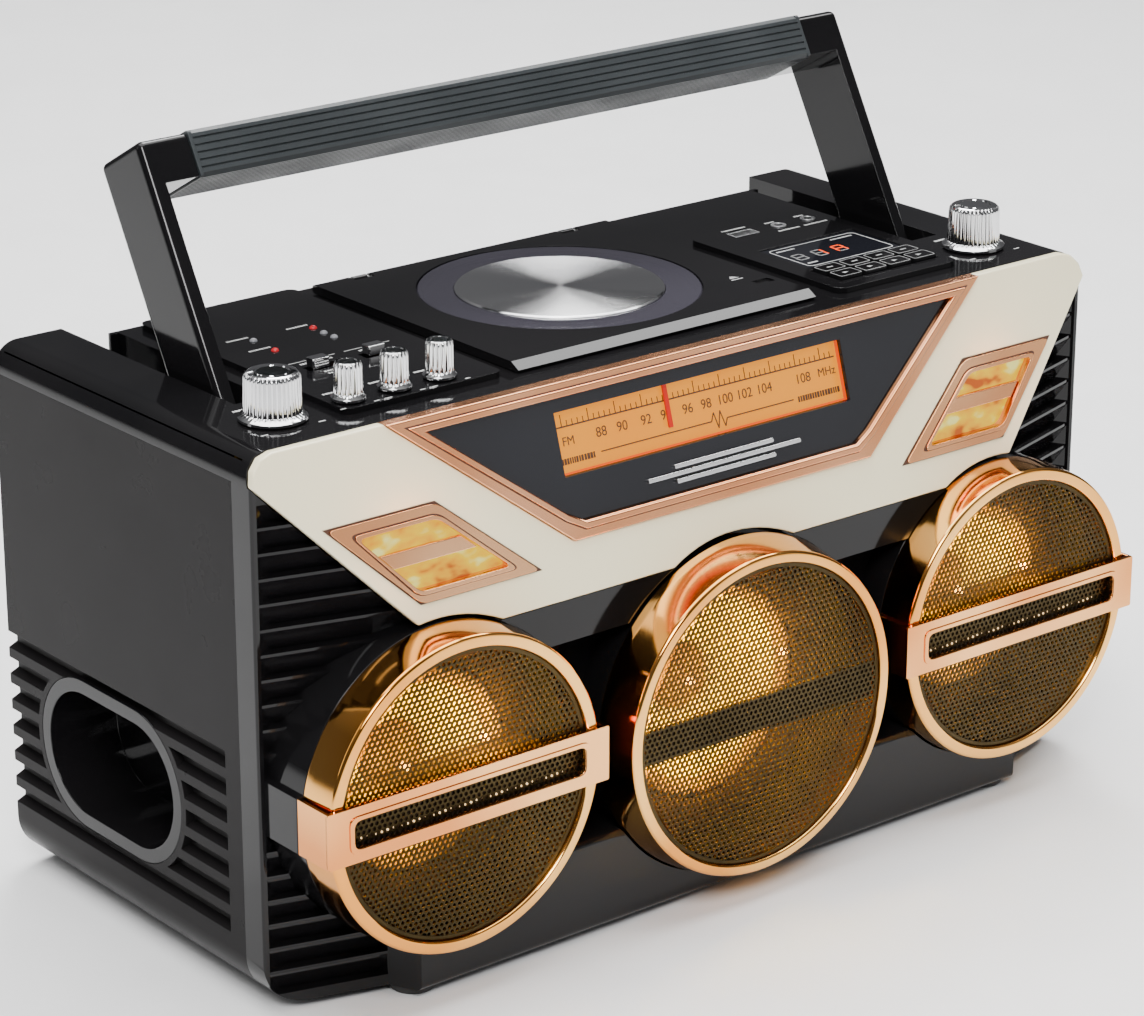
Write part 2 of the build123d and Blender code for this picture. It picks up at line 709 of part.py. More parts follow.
def lid_posts():
    """Two posts on the deck that hold the lid's hinge pins."""
    posts = []
    for x in (-55, 55):
        post = block(x - 3.5, x + 3.5, LID_HINGE_Y - 2, LID_HINGE_Y + 2, DECK_TOP - 1, LID_HINGE_Z)
        post += rod_x(LID_HINGE_Y, LID_HINGE_Z, 1.8, x - 3.5, x + 3.5)
        posts.append(post - rod_x(LID_HINGE_Y, LID_HINGE_Z, 1.02, x - 5, x + 5))
    return posts


def cd_lid_window():
    low_z = LID_BOTTOM + 1.2
    high_z = LID_TOP - 0.2
    outer_r = WINDOW_R - 0.2
    outline = [(DISC_R, low_z), (outer_r, low_z), (outer_r, high_z), (DISC_R, high_z)]
    return ring_z(CD_X, CD_Y, outline)


def cd_lid_disc():
    low_z = LID_BOTTOM + 1.2
    high_z = LID_TOP + 0.5
    outer_r = DISC_R - 0.1
    outline = [(0, low_z), (outer_r, low_z), (outer_r, high_z - 0.4), (DISC_R - 1, high_z), (0, high_z)]
    return ring_z(CD_X, CD_Y, outline)


def hinge_pins():
    return [rod_x(LID_HINGE_Y, LID_HINGE_Z, 1.0, x - 12, x + 12) for x in (-55, 55)]


def cd_well():
    outline = [
        (8.5, WELL_FLOOR),
        (WELL_R - 0.2, WELL_FLOOR),
        (WELL_R - 0.2, DECK_TOP - 0.2),
        (WELL_R - 2.0, DECK_TOP - 0.2),
        (WELL_R - 2.0, WELL_FLOOR + 3.0),
        (17.0, WELL_FLOOR + 3.0),
        (17.0, WELL_FLOOR + 1.6),
        (8.5, WELL_FLOOR + 1.6),
    ]
    well = ring_z(CD_X, CD_Y, outline)
    return well - block(-48, -18, CD_Y - 9, CD_Y + 9, 200, 220)


def spindle_motor():
    return ring_z(CD_X, CD_Y, [(0, 196), (8, 196), (8, 206.5), (1.3, 206.5), (1.3, 214.0), (0, 214.0)])


def cd_hub():
    """Turntable that a disc clips onto."""
    outline = [
        (1.35, 209.0),
        (14.5, 209.0 + 2.8),
        (14.5, 213.2),
        (7.3, 213.2),
        (7.3, 215.4),
        (6.0, 216.6),
        (0, 216.6),
        (0, 214.3),
        (1.35, 214.3),
    ]
    return ring_z(CD_X, CD_Y, outline)


PICKUP_X = -38.0


def cd_pickup():
    sled = block(PICKUP_X - 7, PICKUP_X + 7, CD_Y - 7.5, CD_Y + 7.5, 200.5, 207.4)
    for y in (CD_Y - 12, CD_Y + 12):
        sled += block(PICKUP_X - 5, PICKUP_X + 5, min(y, CD_Y), max(y, CD_Y), 200.5, 204.8)
        sled += rod_x(y, 203.5, 2.4, PICKUP_X - 5, PICKUP_X + 5)
        sled -= rod_x(y, 203.5, 1.25, PICKUP_X - 9, PICKUP_X + 9)
    return sled + rod_z(PICKUP_X, CD_Y, 3.0, 206, 209.4)


def pickup_rails():
    return [rod_x(CD_Y + y, 203.5, 1.2, -52, -14) for y in (-12, 12)]


def cd_carrier():
    """Sheet frame that holds the motor and the pickup's rails."""
    frame = block(-56, 20, CD_Y - 20, CD_Y + 20, 193.5, 196.0)
    frame += block(-56, -52, CD_Y - 20, CD_Y + 20, 196, 207.7)
    frame += block(-14, -11, CD_Y - 20, CD_Y - 9.5, 196, 207.7)
    frame += block(-14, -11, CD_Y + 9.5, CD_Y + 20, 196, 207.7)
    return frame


# ---------------------------------------------------------------- speakers
SPEAKERS = (
    ("left", -SIDE_X, SIDE_Z, SIDE_MESH_R, SIDE_MESH_Y),
    ("centre", 0.0, MID_Z, MID_MESH_R, MID_MESH_Y),
    ("right", SIDE_X, SIDE_Z, SIDE_MESH_R, SIDE_MESH_Y),
)


def speaker_pod(x, z, mesh_r, mesh_y):
    """Black tube that carries a driver and stands out from the front shell."""
    outer = SIDE_POD_R if x else MID_POD_R
    inner = mesh_r + 1.5 if x else mesh_r + 1.0
    front = -22.0 if x else -24.0
    seat = outer - 14
    pod = ring_y(x, z, [(inner, front), (outer, front), (outer, 6.0), (seat, 6.0), (seat, -1.0), (inner, -1.0)])
    if x:
        half = BAR_HEIGHT / 2
        for side in (-1, 1):
            x0 = x + side * 58.0
            x1 = x + side * BAR_HALF
            ear = block(min(x0, x1), max(x0, x1), front, 4.0, z - half, z + half)
            pod += ear - rod_y(x, z, outer - 2, -60, 60)
    return pod


def speaker_ring(x, z, mesh_r, mesh_y):
    """Bright flared ring around a grille."""
    back = -22.2 if x else -24.2
    if x:
        outline = [
            (mesh_r + 0.2, mesh_y + 2.6),
            (mesh_r + 0.2, mesh_y - 1.2),
            (mesh_r + 1.0, mesh_y - 2.0),
            (mesh_r + 4.8, mesh_y - 1.7),
            (mesh_r + 5.6, mesh_y - 0.8),
            (mesh_r + 6.3, back - 4.0),
            (mesh_r + 6.4, back),
            (mesh_r + 4.0, back),
            (mesh_r + 2.6, mesh_y + 2.6),
        ]
    else:
        outline = [
            (mesh_r + 0.2, mesh_y + 2.6),
            (mesh_r + 0.2, mesh_y - 1.0),
            (mesh_r + 1.0, mesh_y - 1.8),
            (mesh_r + 4.2, mesh_y - 1.5),
            (mesh_r + 5.0, mesh_y - 0.6),
            (mesh_r + 7.4, back - 4.0),
            (mesh_r + 7.7, back),
            (mesh_r + 4.0, back),
            (mesh_r + 2.4, mesh_y + 2.6),
        ]
    return ring_y(x, z, outline)


def speaker_grille(x, z, mesh_r, mesh_y):
    """Flat perforated disc; the perforations are left to the finish."""
    return rod_y(x, z, mesh_r, mesh_y, mesh_y + 1.0)


def grille_bar(x):
    """Slotted bar across a side speaker with two ends that wrap back over the ring."""
    half_x = BAR_HALF
    half_z = BAR_HEIGHT / 2
    bar = block(x - half_x, x + half_x, BAR_FRONT, SIDE_MESH_Y - 2.1, SIDE_Z - half_z, SIDE_Z + half_z)
    for side in (-1, 1):
        edge = x + side * (half_x - 1.5)
        outer = x + side * half_x
        bar += block(min(edge, outer), max(edge, outer), BAR_FRONT, -22.3, SIDE_Z - half_z, SIDE_Z + half_z)
    corner = [e for e in bar.edges().filter_by(Axis.Z) if e.center().Y < BAR_FRONT + 0.1]
    bar = fillet(corner, 1.2)
    slot = rounded_slot(x, SIDE_Z, 110.0, 11.6)
    return bar - slot


def rounded_slot(x, z, length, height):
    cutter = block(x - length / 2, x + length / 2, -60, -30, z - height / 2, z + height / 2)
    return fillet(cutter.edges().filter_by(Axis.Y), 2.5)


def centre_brace():
    return block(-60.5, 60.5, MID_MESH_Y + 1.2, MID_MESH_Y + 3.4, MID_Z - 7.0, MID_Z + 7.0)


def driver_frame(x, z, mesh_r, mesh_y):
    """Driver's pressed basket with its mounting flange."""
    seat = mesh_r - 8.0
    return ring_y(
        x,
        z,
        [
            (seat - 8, -4.0),
            (seat, -4.0),
            (seat, -1.2),
            (seat - 7, -1.2),
            (31.0, 22.0),
            (31.0, 24.0),
            (15.0, 24.0),
            (15.0, 22.0),
            (28.0, 22.0),
            (seat - 9.5, -2.0),
        ],
    )


def driver_cone(x, z, mesh_r, mesh_y):
    """Paper cone with its roll surround and dust cap."""
    seat = mesh_r - 8.0
    return ring_y(
        x,
        z,
        [
            (0.0, 5.0),
            (8.0, 6.0),
            (14.0, 11.0),
            (seat - 16, -5.0),
            (seat - 12, -8.5),
            (seat - 8.2, -5.2),
            (seat - 8.2, -4.2),
            (seat - 12, -7.2),
            (seat - 16, -3.6),
            (13.0, 20.0),
            (12.0, 20.0),
            (12.0, 12.6),
            (8.0, 8.0),
            (0.0, 7.0),
        ],
    )


def driver_magnet(x, z):
    """Ring magnet and back plate behind a basket."""
    return ring_y(x, z, [(0, 24.2), (29, 24.2), (29, 38), (31, 38), (31, 41), (0, 41)])


def led_board(x, z, mesh_r):
    """Ring-shaped board with the lamps that light the cone."""
    seat = mesh_r - 8.0
    board = ring_y(x, z, [(seat - 6.5, -5.6), (seat + 0.5, -5.6), (seat + 0.5, -4.2), (seat - 6.5, -4.2)])
    for angle in range(0, 360, 45):
        a = math.radians(angle + 22.5)
        r = seat - 3
        board += rod_y(x + r * math.cos(a), z + r * math.sin(a), 1.6, -8.6, -5.0)
    return board


# ---------------------------------------------------------------- handle
def lean(solid):
    """Tilt a part built upright at the pivot back to the handle's resting angle."""
    return Pos(0, PIVOT_Y, PIVOT_Z) * Rot(-HANDLE_LEAN, 0, 0) * solid


def handle_frame():
    half = ARM_WIDTH / 2
    inner = ARM_OUTER_X - ARM_THICK
    arm = block(-ARM_OUTER_X, -inner, -half, half, 0, ARM_LENGTH)
    arm += rod_x(0, 0, half, -ARM_OUTER_X, -inner)
    arm -= rod_x(0, 0, PIN_RADIUS + PIN_CLEARANCE, -ARM_OUTER_X - 5, -inner + 5)
    frame = arm + mirror(arm, about=Plane.YZ)
    low = ARM_LENGTH - GRIP_HEIGHT
    for side in (-1, 1):
        x0 = side * GRIP_HALF
        x1 = side * (ARM_OUTER_X - 1)
        frame += block(min(x0, x1), max(x0, x1), -half, half, low, ARM_LENGTH)
    frame += block(-GRIP_HALF - 1, GRIP_HALF + 1, -6, 6, low + 5, low + 13)
    high = frame.edges().filter_by(lambda e: e.center().Z > ARM_LENGTH - 0.1)
    tops = [e for e in high.filter_by(Axis.Y) if abs(e.center().X) > ARM_OUTER_X - 1]
    frame = fillet(tops, 3.0)
    high = frame.edges().filter_by(lambda e: e.center().Z > ARM_LENGTH - 0.1)
    backs = [e for e in high.filter_by(Axis.X) if e.center().Y > half - 0.1]
    frame = fillet(backs, 3.0)
    return lean(frame)


def handle_grip():
    half = ARM_WIDTH / 2 + 0.8
    low = ARM_LENGTH - GRIP_HEIGHT - 0.6
    sleeve = block(-GRIP_HALF + 0.2, GRIP_HALF - 0.2, -half, half, low, ARM_LENGTH + 0.6)
    sleeve = fillet(sleeve.edges().filter_by(Axis.X), 2.5)
    sleeve -= block(-GRIP_HALF - 1, GRIP_HALF + 1, -6, 6, low + 5.6, low + 13.6)
    for i in range(5):
        z = low + 3.4 + 3.1 * i
        sleeve -= block(-GRIP_HALF, GRIP_HALF, -half - 1, -half + 0.7, z - 0.5, z + 0.5)
    return lean(sleeve)


def handle_pins():
    pin = rod_x(PIVOT_Y, PIVOT_Z, PIN_RADIUS, -CHANNEL_OUT - 5, -CHANNEL_IN + 5)
    return both_sides(pin)


# ---------------------------------------------------------------- rest of the inside and the back
def side_ports():
    liner = stadium_x(PORT_LENGTH - 0.4, PORT_HEIGHT - 0.4, -HALF + 1.0, -HALF + PORT_DEPTH)
    liner += stadium_x(PORT_LENGTH + 6, PORT_HEIGHT + 6, -HALF - 0.0, -HALF + 1.0) & body_outline()
    liner -= stadium_x(PORT_LENGTH - 6, PORT_HEIGHT - 6, -HALF - 2, -HALF + PORT_DEPTH - 2.5)
    return both_sides(liner)


def main_board():
    """Main circuit board on four posts, with its larger components."""
    board = block(-98, 78, 60, 168, 100, 101.6)
    parts = [(-60, 90, 12, 9), (-30, 130, 14, 14), (10, 100, 22, 3), (40, 140, 10, 18), (-70, 145, 12, 12)]
    for x, y, side, height in parts:
        board += block(x - side / 2, x + side / 2, y - side / 2, y + side / 2, 101.6, 101.6 + height)
    for x in (-92, 72):
        for y in (66, 162):
            board += rod_z(x, y, 3.5, BODY_BOTTOM + WALL, 100)
    return board


def transformer():
    core = block(100, 150, 110, 152, BODY_BOTTOM + WALL, 46)
    return core + block(108, 142, 104, 154, 14, 39)


def battery_door():
    """Door whose rounded lower edge turns in the opening."""
    door = battery_opening(0.0) & block(-100, 100, DEPTH - 2.5, DEPTH, 29.25, 200)
    door += rod_x(DEPTH - 1.25, 29.25, 1.25, -80, 60)
    for i in range(4):
        door -= block(-20, 20, DEPTH - 0.8, DEPTH + 1, 78 + i * 2, 79 + i * 2)
    return door


def battery_box():
    """Compartment moulded into the rear cabinet behind the battery door."""
    box = block(-83, 63, DEPTH - 48, DEPTH - 2.6, 26, 91)
    return box - block(-80.3, 60.3, DEPTH - 46, DEPTH, 28, 88.3)


def mains_inlet():
    body = block(120.2, 146.8, DEPTH - 20, DEPTH, 30.2, 49.8)
    body -= block(123.5, 143.5, DEPTH - 14, DEPTH + 1, 33.5, 46.5)
    for x in (129.0, 138.0):
        body += rod_y(x, 40.0, 1.2, DEPTH - 15, DEPTH - 3)
    return body


def aerial_tube():
    """Outer section of the telescopic aerial, with the eye that turns on the deck's post."""
    tube = rod_x(AERIAL_Y, AERIAL_Z, 3.2, AERIAL_X - 190, AERIAL_X)
    tube += rod_y(AERIAL_X, AERIAL_Z, 3.9, AERIAL_Y - 3.9, AERIAL_Y + 3.9)
    tube -= rod_x(AERIAL_Y, AERIAL_Z, 2.1, AERIAL_X - 191, AERIAL_X - 8)
    return tube - rod_y(AERIAL_X, AERIAL_Z, 2.0, AERIAL_Y - 5, AERIAL_Y + 5)


def aerial_tip():
    """Inner section that draws out of the tube, with its end button."""
    rod = rod_x(AERIAL_Y, AERIAL_Z, 2.03, AERIAL_X - 190.5, AERIAL_X - 10)
    return rod + rod_x(AERIAL_Y, AERIAL_Z, 3.2, AERIAL_X - 196, AERIAL_X - 190.5)


def feet():
    made = []
    for x in (-154.0, 154.0):
        for y in (-13.0, 152.0):
            made.append(ring_z(x, y, [(0, 0), (8.6, 0), (9.4, 0.8), (10, BODY_BOTTOM), (0, BODY_BOTTOM)]))
    return made


def case_screws():
    """Screws in the back wall that hold the two shells together."""
    made = []
    for x in (-195.0, -100.0, 80.0, 195.0):
        for z in (18.0, 170.0):
            head = rod_y(x, z, 3.4, DEPTH, DEPTH + SCREW_HEAD)
            head -= block(x - 2.4, x + 2.4, DEPTH + 0.7, DEPTH + 2, z - 0.45, z + 0.45)
            head -= block(x - 0.45, x + 0.45, DEPTH + 0.7, DEPTH + 2, z - 2.4, z + 2.4)
            made.append(head)
    return made


def main():
    export("front_shell", front_shell())
    export("rear_cabinet", rear_cabinet())
    export("top_deck", top_deck())
    export("v_panel", v_panel())
    export("dial_bezel", dial_bezel())
    export("dial_window", dial_window())
    export("dial_scale", dial_scale())
    export("dial_pointer", dial_pointer())
    export("indicator_frames", both_sides(indicator_frame()))
    export("indicator_lenses", indicator_lenses())
    export("control_panel_left", control_panel_left())
    export("control_panel_right", control_panel_right())
    export("display_module", display_module())
    for number, cap in enumerate(buttons(), start=1):
        export(f"key_{number}", cap)
    export("panel_sockets", [usb_socket()] + audio_jacks())
    export("panel_leds", panel_leds())
    export("volume_knob", volume_knob())
    export("tuning_knob", tuning_knob())
    for number, x in enumerate(TONE_X, start=1):
        export(f"tone_knob_{number}", tone_knob(x))
    export("potentiometers", potentiometers())
    for number, x in enumerate(SWITCH_X, start=1):
        export(f"slide_cap_{number}", switch_cap(x - 3.5, 0.0))
    export("cd_lid", cd_lid())
    export("cd_lid_window", cd_lid_window())
    export("cd_lid_disc", cd_lid_disc())
    export("cd_well", cd_well())
    export("cd_hub", cd_hub())
    export("cd_pickup", cd_pickup())
    export("cd_carrier", [cd_carrier(), spindle_motor()] + pickup_rails())
    for name, x, z, mesh_r, mesh_y in SPEAKERS:
        export(f"speaker_ring_{name}", speaker_ring(x, z, mesh_r, mesh_y))
        export(f"speaker_grille_{name}", speaker_grille(x, z, mesh_r, mesh_y))
    export("speaker_pods", [speaker_pod(*row[1:]) for row in SPEAKERS])
    export("grille_bars", [grille_bar(-SIDE_X), grille_bar(SIDE_X), centre_brace()])
    baskets = [driver_frame(*row[1:]) for row in SPEAKERS]
    export("driver_baskets", baskets + [driver_magnet(row[1], row[2]) for row in SPEAKERS])
    export("driver_cones", [driver_cone(*row[1:]) for row in SPEAKERS])
    export("handle_frame", handle_frame())
    export("handle_grip", handle_grip())
    export("hinge_pins", handle_pins() + hinge_pins())
    export("side_ports", side_ports())
    boards = [main_board(), key_board()]
    boards += [led_board(row[1], row[2], row[3]) for row in SPEAKERS]
    export("circuit_boards", boards)
    export("transformer", transformer())
    export("battery_door", battery_door())
    export("mains_inlet", mains_inlet())
    export("aerial_tube", aerial_tube())
    export("aerial_tip", aerial_tip())
    export("feet", feet())
    export("case_screws", case_screws())


main()
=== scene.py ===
import json
import math
import random

import bmesh
import bpy
from mathutils import Matrix, Vector

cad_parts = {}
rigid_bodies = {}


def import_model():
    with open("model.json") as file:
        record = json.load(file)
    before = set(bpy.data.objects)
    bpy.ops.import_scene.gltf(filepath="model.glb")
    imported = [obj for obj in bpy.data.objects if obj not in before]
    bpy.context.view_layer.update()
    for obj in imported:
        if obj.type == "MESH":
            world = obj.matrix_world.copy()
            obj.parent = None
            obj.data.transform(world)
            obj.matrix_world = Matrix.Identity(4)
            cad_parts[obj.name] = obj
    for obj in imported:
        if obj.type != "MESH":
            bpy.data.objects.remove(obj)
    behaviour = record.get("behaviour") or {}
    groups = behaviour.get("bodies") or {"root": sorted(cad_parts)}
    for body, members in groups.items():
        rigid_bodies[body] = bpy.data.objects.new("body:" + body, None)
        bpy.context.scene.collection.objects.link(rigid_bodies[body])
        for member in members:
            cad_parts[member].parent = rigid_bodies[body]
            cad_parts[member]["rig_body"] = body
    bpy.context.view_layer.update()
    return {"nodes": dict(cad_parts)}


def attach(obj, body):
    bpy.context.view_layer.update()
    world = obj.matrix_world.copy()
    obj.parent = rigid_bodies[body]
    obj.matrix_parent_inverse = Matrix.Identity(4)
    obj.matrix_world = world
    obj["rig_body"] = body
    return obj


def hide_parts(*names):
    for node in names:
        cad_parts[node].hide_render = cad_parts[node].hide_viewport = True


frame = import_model()
random.seed(7)

# Shapes below are given in millimetres. X runs right, Z up, and Y back from the front edge of the
# side walls; at() turns them into metres and Y_SHIFT brings them into the shared frame.
MM = 0.001
Y_SHIFT = -67.3
DECK_Z = 226.0
PLATE_Z = 228.4
V_LEAN = 24.0 / 79.5
NODES = frame["nodes"]


def at(x, y, z):
    return Vector((x * MM, (y + Y_SHIFT) * MM, z * MM))


def lean_y(z, behind):
    """Y of a point the given distance behind the leaning ivory front at height z."""
    return -V_LEAN * (DECK_Z - z) + behind


# ---------------------------------------------------------------- materials
class Shader:
    """Small helper around one material's node tree."""

    def __init__(self, name):
        self.material = bpy.data.materials.new(name)
        self.material.use_nodes = True
        self.nodes = self.material.node_tree.nodes
        self.links = self.material.node_tree.links
        self.bsdf = self.nodes["Principled BSDF"]
        self.coords = self.nodes.new("ShaderNodeTexCoord")

    def set(self, **values):
        for key, value in values.items():
            self.bsdf.inputs[key.replace("_", " ")].default_value = value
        return self

    def noise(self, scale, detail=3.0, stretch=(1, 1, 1)):
        mapping = self.nodes.new("ShaderNodeMapping")
        mapping.inputs["Scale"].default_value = stretch
        self.links.new(self.coords.outputs["Object"], mapping.inputs["Vector"])
        node = self.nodes.new("ShaderNodeTexNoise")
        node.inputs["Scale"].default_value = scale
        node.inputs["Detail"].default_value = detail
        self.links.new(mapping.outputs["Vector"], node.inputs["Vector"])
        return node.outputs["Fac"]

    def spread(self, source, low, high):
        node = self.nodes.new("ShaderNodeMapRange")
        node.inputs["From Min"].default_value = 0.3
        node.inputs["From Max"].default_value = 0.7
        node.inputs["To Min"].default_value = low
        node.inputs["To Max"].default_value = high
        self.links.new(source, node.inputs["Value"])
        return node.outputs["Result"]

    def colours(self, source, *stops):
        ramp = self.nodes.new("ShaderNodeValToRGB")
        ramp.color_ramp.elements[0].position = stops[0][0]
        ramp.color_ramp.elements[0].color = (*stops[0][1], 1)
        ramp.color_ramp.elements[1].position = stops[-1][0]
        ramp.color_ramp.elements[1].color = (*stops[-1][1], 1)
        for place, colour in stops[1:-1]:
            ramp.color_ramp.elements.new(place).color = (*colour, 1)
        self.links.new(source, ramp.inputs["Fac"])
        return ramp.outputs["Color"]

    def wire(self, source, target):
        self.links.new(source, self.bsdf.inputs[target])
        return self

    def bump(self, source, height):
        node = self.nodes.new("ShaderNodeBump")
        node.inputs["Distance"].default_value = height
        node.inputs["Strength"].default_value = 1.0
        self.links.new(source, node.inputs["Height"])
        self.links.new(node.outputs["Normal"], self.bsdf.inputs["Normal"])
        return self


def plastic(name, dark, light, rough, coat=0.0, grain=0, bump=0.0, gloss=0.5):
    """Moulded plastic: two close tones, uneven gloss and, if asked, a fine grain (scale and height)."""
    s = Shader(name)
    s.wire(s.colours(s.noise(9), (0.3, dark), (0.7, light)), "Base Color")
    s.wire(s.spread(s.noise(35, 5), rough * 0.85, rough * 1.2), "Roughness")
    s.set(IOR=1.5, Specular_IOR_Level=gloss, Coat_Weight=coat, Coat_Roughness=0.04)
    if grain:
        s.bump(s.noise(grain, 2), bump)
    return s.material


def metal(name, dark, light, rough, stretch=(1, 1, 1), scale=60, turned=False):
    """Bright metal or metallised plastic with slightly uneven polish."""
    s = Shader(name)
    s.wire(s.colours(s.noise(15, 1), (0.35, dark), (0.65, light)), "Base Color")
    s.wire(s.spread(s.noise(scale, 4, stretch), rough * 0.8, rough * 1.25), "Roughness")
    s.set(Metallic=1.0)
    if turned:
        tangent = s.nodes.new("ShaderNodeTangent")
        tangent.direction_type = "RADIAL"
        tangent.axis = "Z"
        s.links.new(tangent.outputs["Tangent"], s.bsdf.inputs["Tangent"])
        s.set(Anisotropic=0.97, Anisotropic_Rotation=0.25)
    return s.material


def clear(name, colour, rough, alpha):
    """Tinted transparent plastic that light passes straight through."""
    s = Shader(name)
    s.wire(s.colours(s.noise(12), (0.3, tuple(c * 0.92 for c in colour)), (0.7, colour)), "Base Color")
    s.wire(s.spread(s.noise(25, 4), rough * 0.8, rough * 1.25), "Roughness")
    s.set(IOR=1.49, Alpha=alpha, Coat_Weight=0.6, Coat_Roughness=0.03)
    return s.material


def glow(name, stops, scale, strength, rough=0.35, stretch=(1, 1, 1), unlit=0.3):
    """Back-lit translucent plastic with uneven brightness; also used for painted glints on the rivets."""
    s = Shader(name)
    pattern = s.noise(scale, 2, stretch)
    dimmed = [(place, tuple(unlit * c for c in colour)) for place, colour in stops]
    s.wire(s.colours(pattern, *dimmed), "Base Color")
    s.wire(s.colours(pattern, *stops), "Emission Color")
    s.wire(s.spread(s.noise(70, 3), rough * 0.8, rough * 1.2), "Roughness")
    s.set(Emission_Strength=strength, Specular_IOR_Level=0.35)
    return s.material


GLOSS_BLACK = plastic(
    "gloss_black_plastic", (0.004, 0.004, 0.0045), (0.007, 0.0065, 0.007), 0.07, gloss=0.26
)
DECK_BLACK = plastic("deck_black_plastic", (0.004, 0.004, 0.0045), (0.0075, 0.007, 0.0075), 0.07, gloss=0.3)
SATIN_BLACK = plastic(
    "satin_black_plastic", (0.0085, 0.0078, 0.008), (0.0105, 0.0095, 0.0098), 0.30, grain=2600,
    bump=0.00002, gloss=0.06,
)
INNER_BLACK = plastic(
    "inner_black_plastic", (0.012, 0.011, 0.011), (0.020, 0.018, 0.018), 0.5, grain=1500, bump=0.00003
)
IVORY = plastic("ivory_lacquer", (0.88, 0.80, 0.54), (0.92, 0.84, 0.58), 0.18, coat=0.3)
ROSE_GOLD = metal("rose_gold_trim", (0.78, 0.32, 0.14), (0.94, 0.46, 0.24), 0.2, scale=25)
RING_GOLD = metal("rose_gold_ring", (0.80, 0.32, 0.055), (1.0, 0.54, 0.15), 0.09, scale=25)
BAR_GOLD = metal("rose_gold_bar", (0.72, 0.26, 0.07), (0.98, 0.49, 0.18), 0.12, scale=25)
PALE_GOLD = metal("pale_gold_trim", (0.78, 0.34, 0.15), (0.95, 0.51, 0.26), 0.2, scale=25)
WINDOW_BLACK = plastic("polished_window", (0.006, 0.0065, 0.009), (0.010, 0.0105, 0.014), 0.07, gloss=0.4)
CHROME = metal("bright_chrome", (0.70, 0.70, 0.71), (0.80, 0.80, 0.80), 0.06)
STEEL = metal("zinc_steel", (0.42, 0.42, 0.43), (0.56, 0.56, 0.56), 0.32, (1, 1, 8))
SPUN = metal("spun_aluminium", (0.86, 0.86, 0.87), (0.90, 0.90, 0.90), 0.23, scale=8, turned=True)
BRONZE = metal("bronze_mesh", (0.040, 0.028, 0.011), (0.068, 0.048, 0.020), 0.42, scale=300)
# painted glint: the rivet dots are drawn as emitters though they are no lamps
RIVET_PAINTED_GLINT = glow("rivet_painted_glint", ((0.3, (0.95, 0.6, 0.25)), (0.7, (1.0, 0.72, 0.4))), 300, 2.2)
STIFFENER = plastic("dark_stiffener", (0.035, 0.016, 0.008), (0.05, 0.024, 0.012), 0.6)
SURROUND = plastic("cone_surround", (0.30, 0.15, 0.015), (0.38, 0.20, 0.02), 0.6)
CAP = plastic("dust_cap", (0.22, 0.11, 0.02), (0.30, 0.16, 0.035), 0.5)
RUBBER = plastic("grip_rubber", (0.018, 0.022, 0.024), (0.030, 0.035, 0.038), 0.45, grain=3200, bump=0.00003)
FOOT_RUBBER = plastic(
    "foot_rubber", (0.02, 0.02, 0.02), (0.032, 0.031, 0.03), 0.65, grain=2000, bump=0.00004
)
MECHANISM = plastic("mechanism_grey", (0.16, 0.16, 0.17), (0.22, 0.22, 0.23), 0.4, grain=900, bump=0.00002)
BOARD = plastic("circuit_board_green", (0.010, 0.045, 0.024), (0.016, 0.07, 0.036), 0.35, coat=0.2)
PAPER = plastic("paper_cone", (0.62, 0.48, 0.02), (0.74, 0.58, 0.035), 0.85, grain=1200, bump=0.00008)
PRINT_WHITE = plastic("white_print", (0.55, 0.55, 0.54), (0.66, 0.66, 0.65), 0.5)
PRINT_GREY = plastic("grey_print", (0.30, 0.30, 0.30), (0.38, 0.38, 0.38), 0.5)
PRINT_DIM = plastic("dim_print", (0.16, 0.16, 0.16), (0.22, 0.22, 0.22), 0.5)
# brown for the real dial print, also used for painted shade lines in gaps and grooves
BROWN_PRINT_AND_SHADE = plastic("brown_print_and_painted_shade", (0.055, 0.020, 0.010), (0.085, 0.032, 0.016), 0.6)
LID_CLEAR = clear("smoked_lid_window", (0.050, 0.046, 0.062), 0.06, 0.74)
DIAL_GLOW = glow("backlit_dial", ((0.25, (1.0, 0.30, 0.004)), (0.75, (1.0, 0.38, 0.012))), 14, 0.9)
DIAL_EDGE = glow("dial_edge_glow", ((0.25, (0.9, 0.05, 0.0)), (0.75, (1.0, 0.12, 0.0))), 14, 0.8)
RED = glow("red_pointer", ((0.3, (0.85, 0.012, 0.0)), (0.7, (0.95, 0.02, 0.0))), 40, 0.5)
AMBER = glow(
    "amber_lens",
    (
        (0.34, (0.55, 0.10, 0.0)),
        (0.43, (0.95, 0.42, 0.0)),
        (0.58, (1.0, 0.62, 0.0)),
        (0.68, (1.0, 0.92, 0.25)),
    ),
    75,
    1.25,
    rough=0.2,
    stretch=(1, 1, 2.0),
    unlit=0.02,
)
DIGIT = glow("digit_segment", ((0.3, (1.0, 0.06, 0.004)), (0.7, (1.0, 0.12, 0.01))), 60, 2.2)
LAMP_AMBER = glow("speaker_lamp", ((0.3, (1.0, 0.45, 0.02)), (0.7, (1.0, 0.55, 0.05))), 200, 12.0)
LAMP_RED = glow("red_indicator", ((0.3, (0.7, 0.01, 0.02)), (0.7, (0.9, 0.03, 0.04))), 300, 0.5)
LAMP_CLEAR = glow("clear_indicator", ((0.3, (0.45, 0.46, 0.5)), (0.7, (0.6, 0.6, 0.64))), 300, 0.15)


# ---------------------------------------------------------------- geometry helpers
def shade(obj, angle=35.0):
    """Smooth shading that keeps edges sharper than the angle in degrees, weighted by face area."""
    mesh = obj.data
    mesh.polygons.foreach_set("use_smooth", [True] * len(mesh.polygons))
    mesh.set_sharp_from_angle(angle=math.radians(angle))
    weighted = obj.modifiers.new("weighted", "WEIGHTED_NORMAL")
    weighted.keep_sharp = True


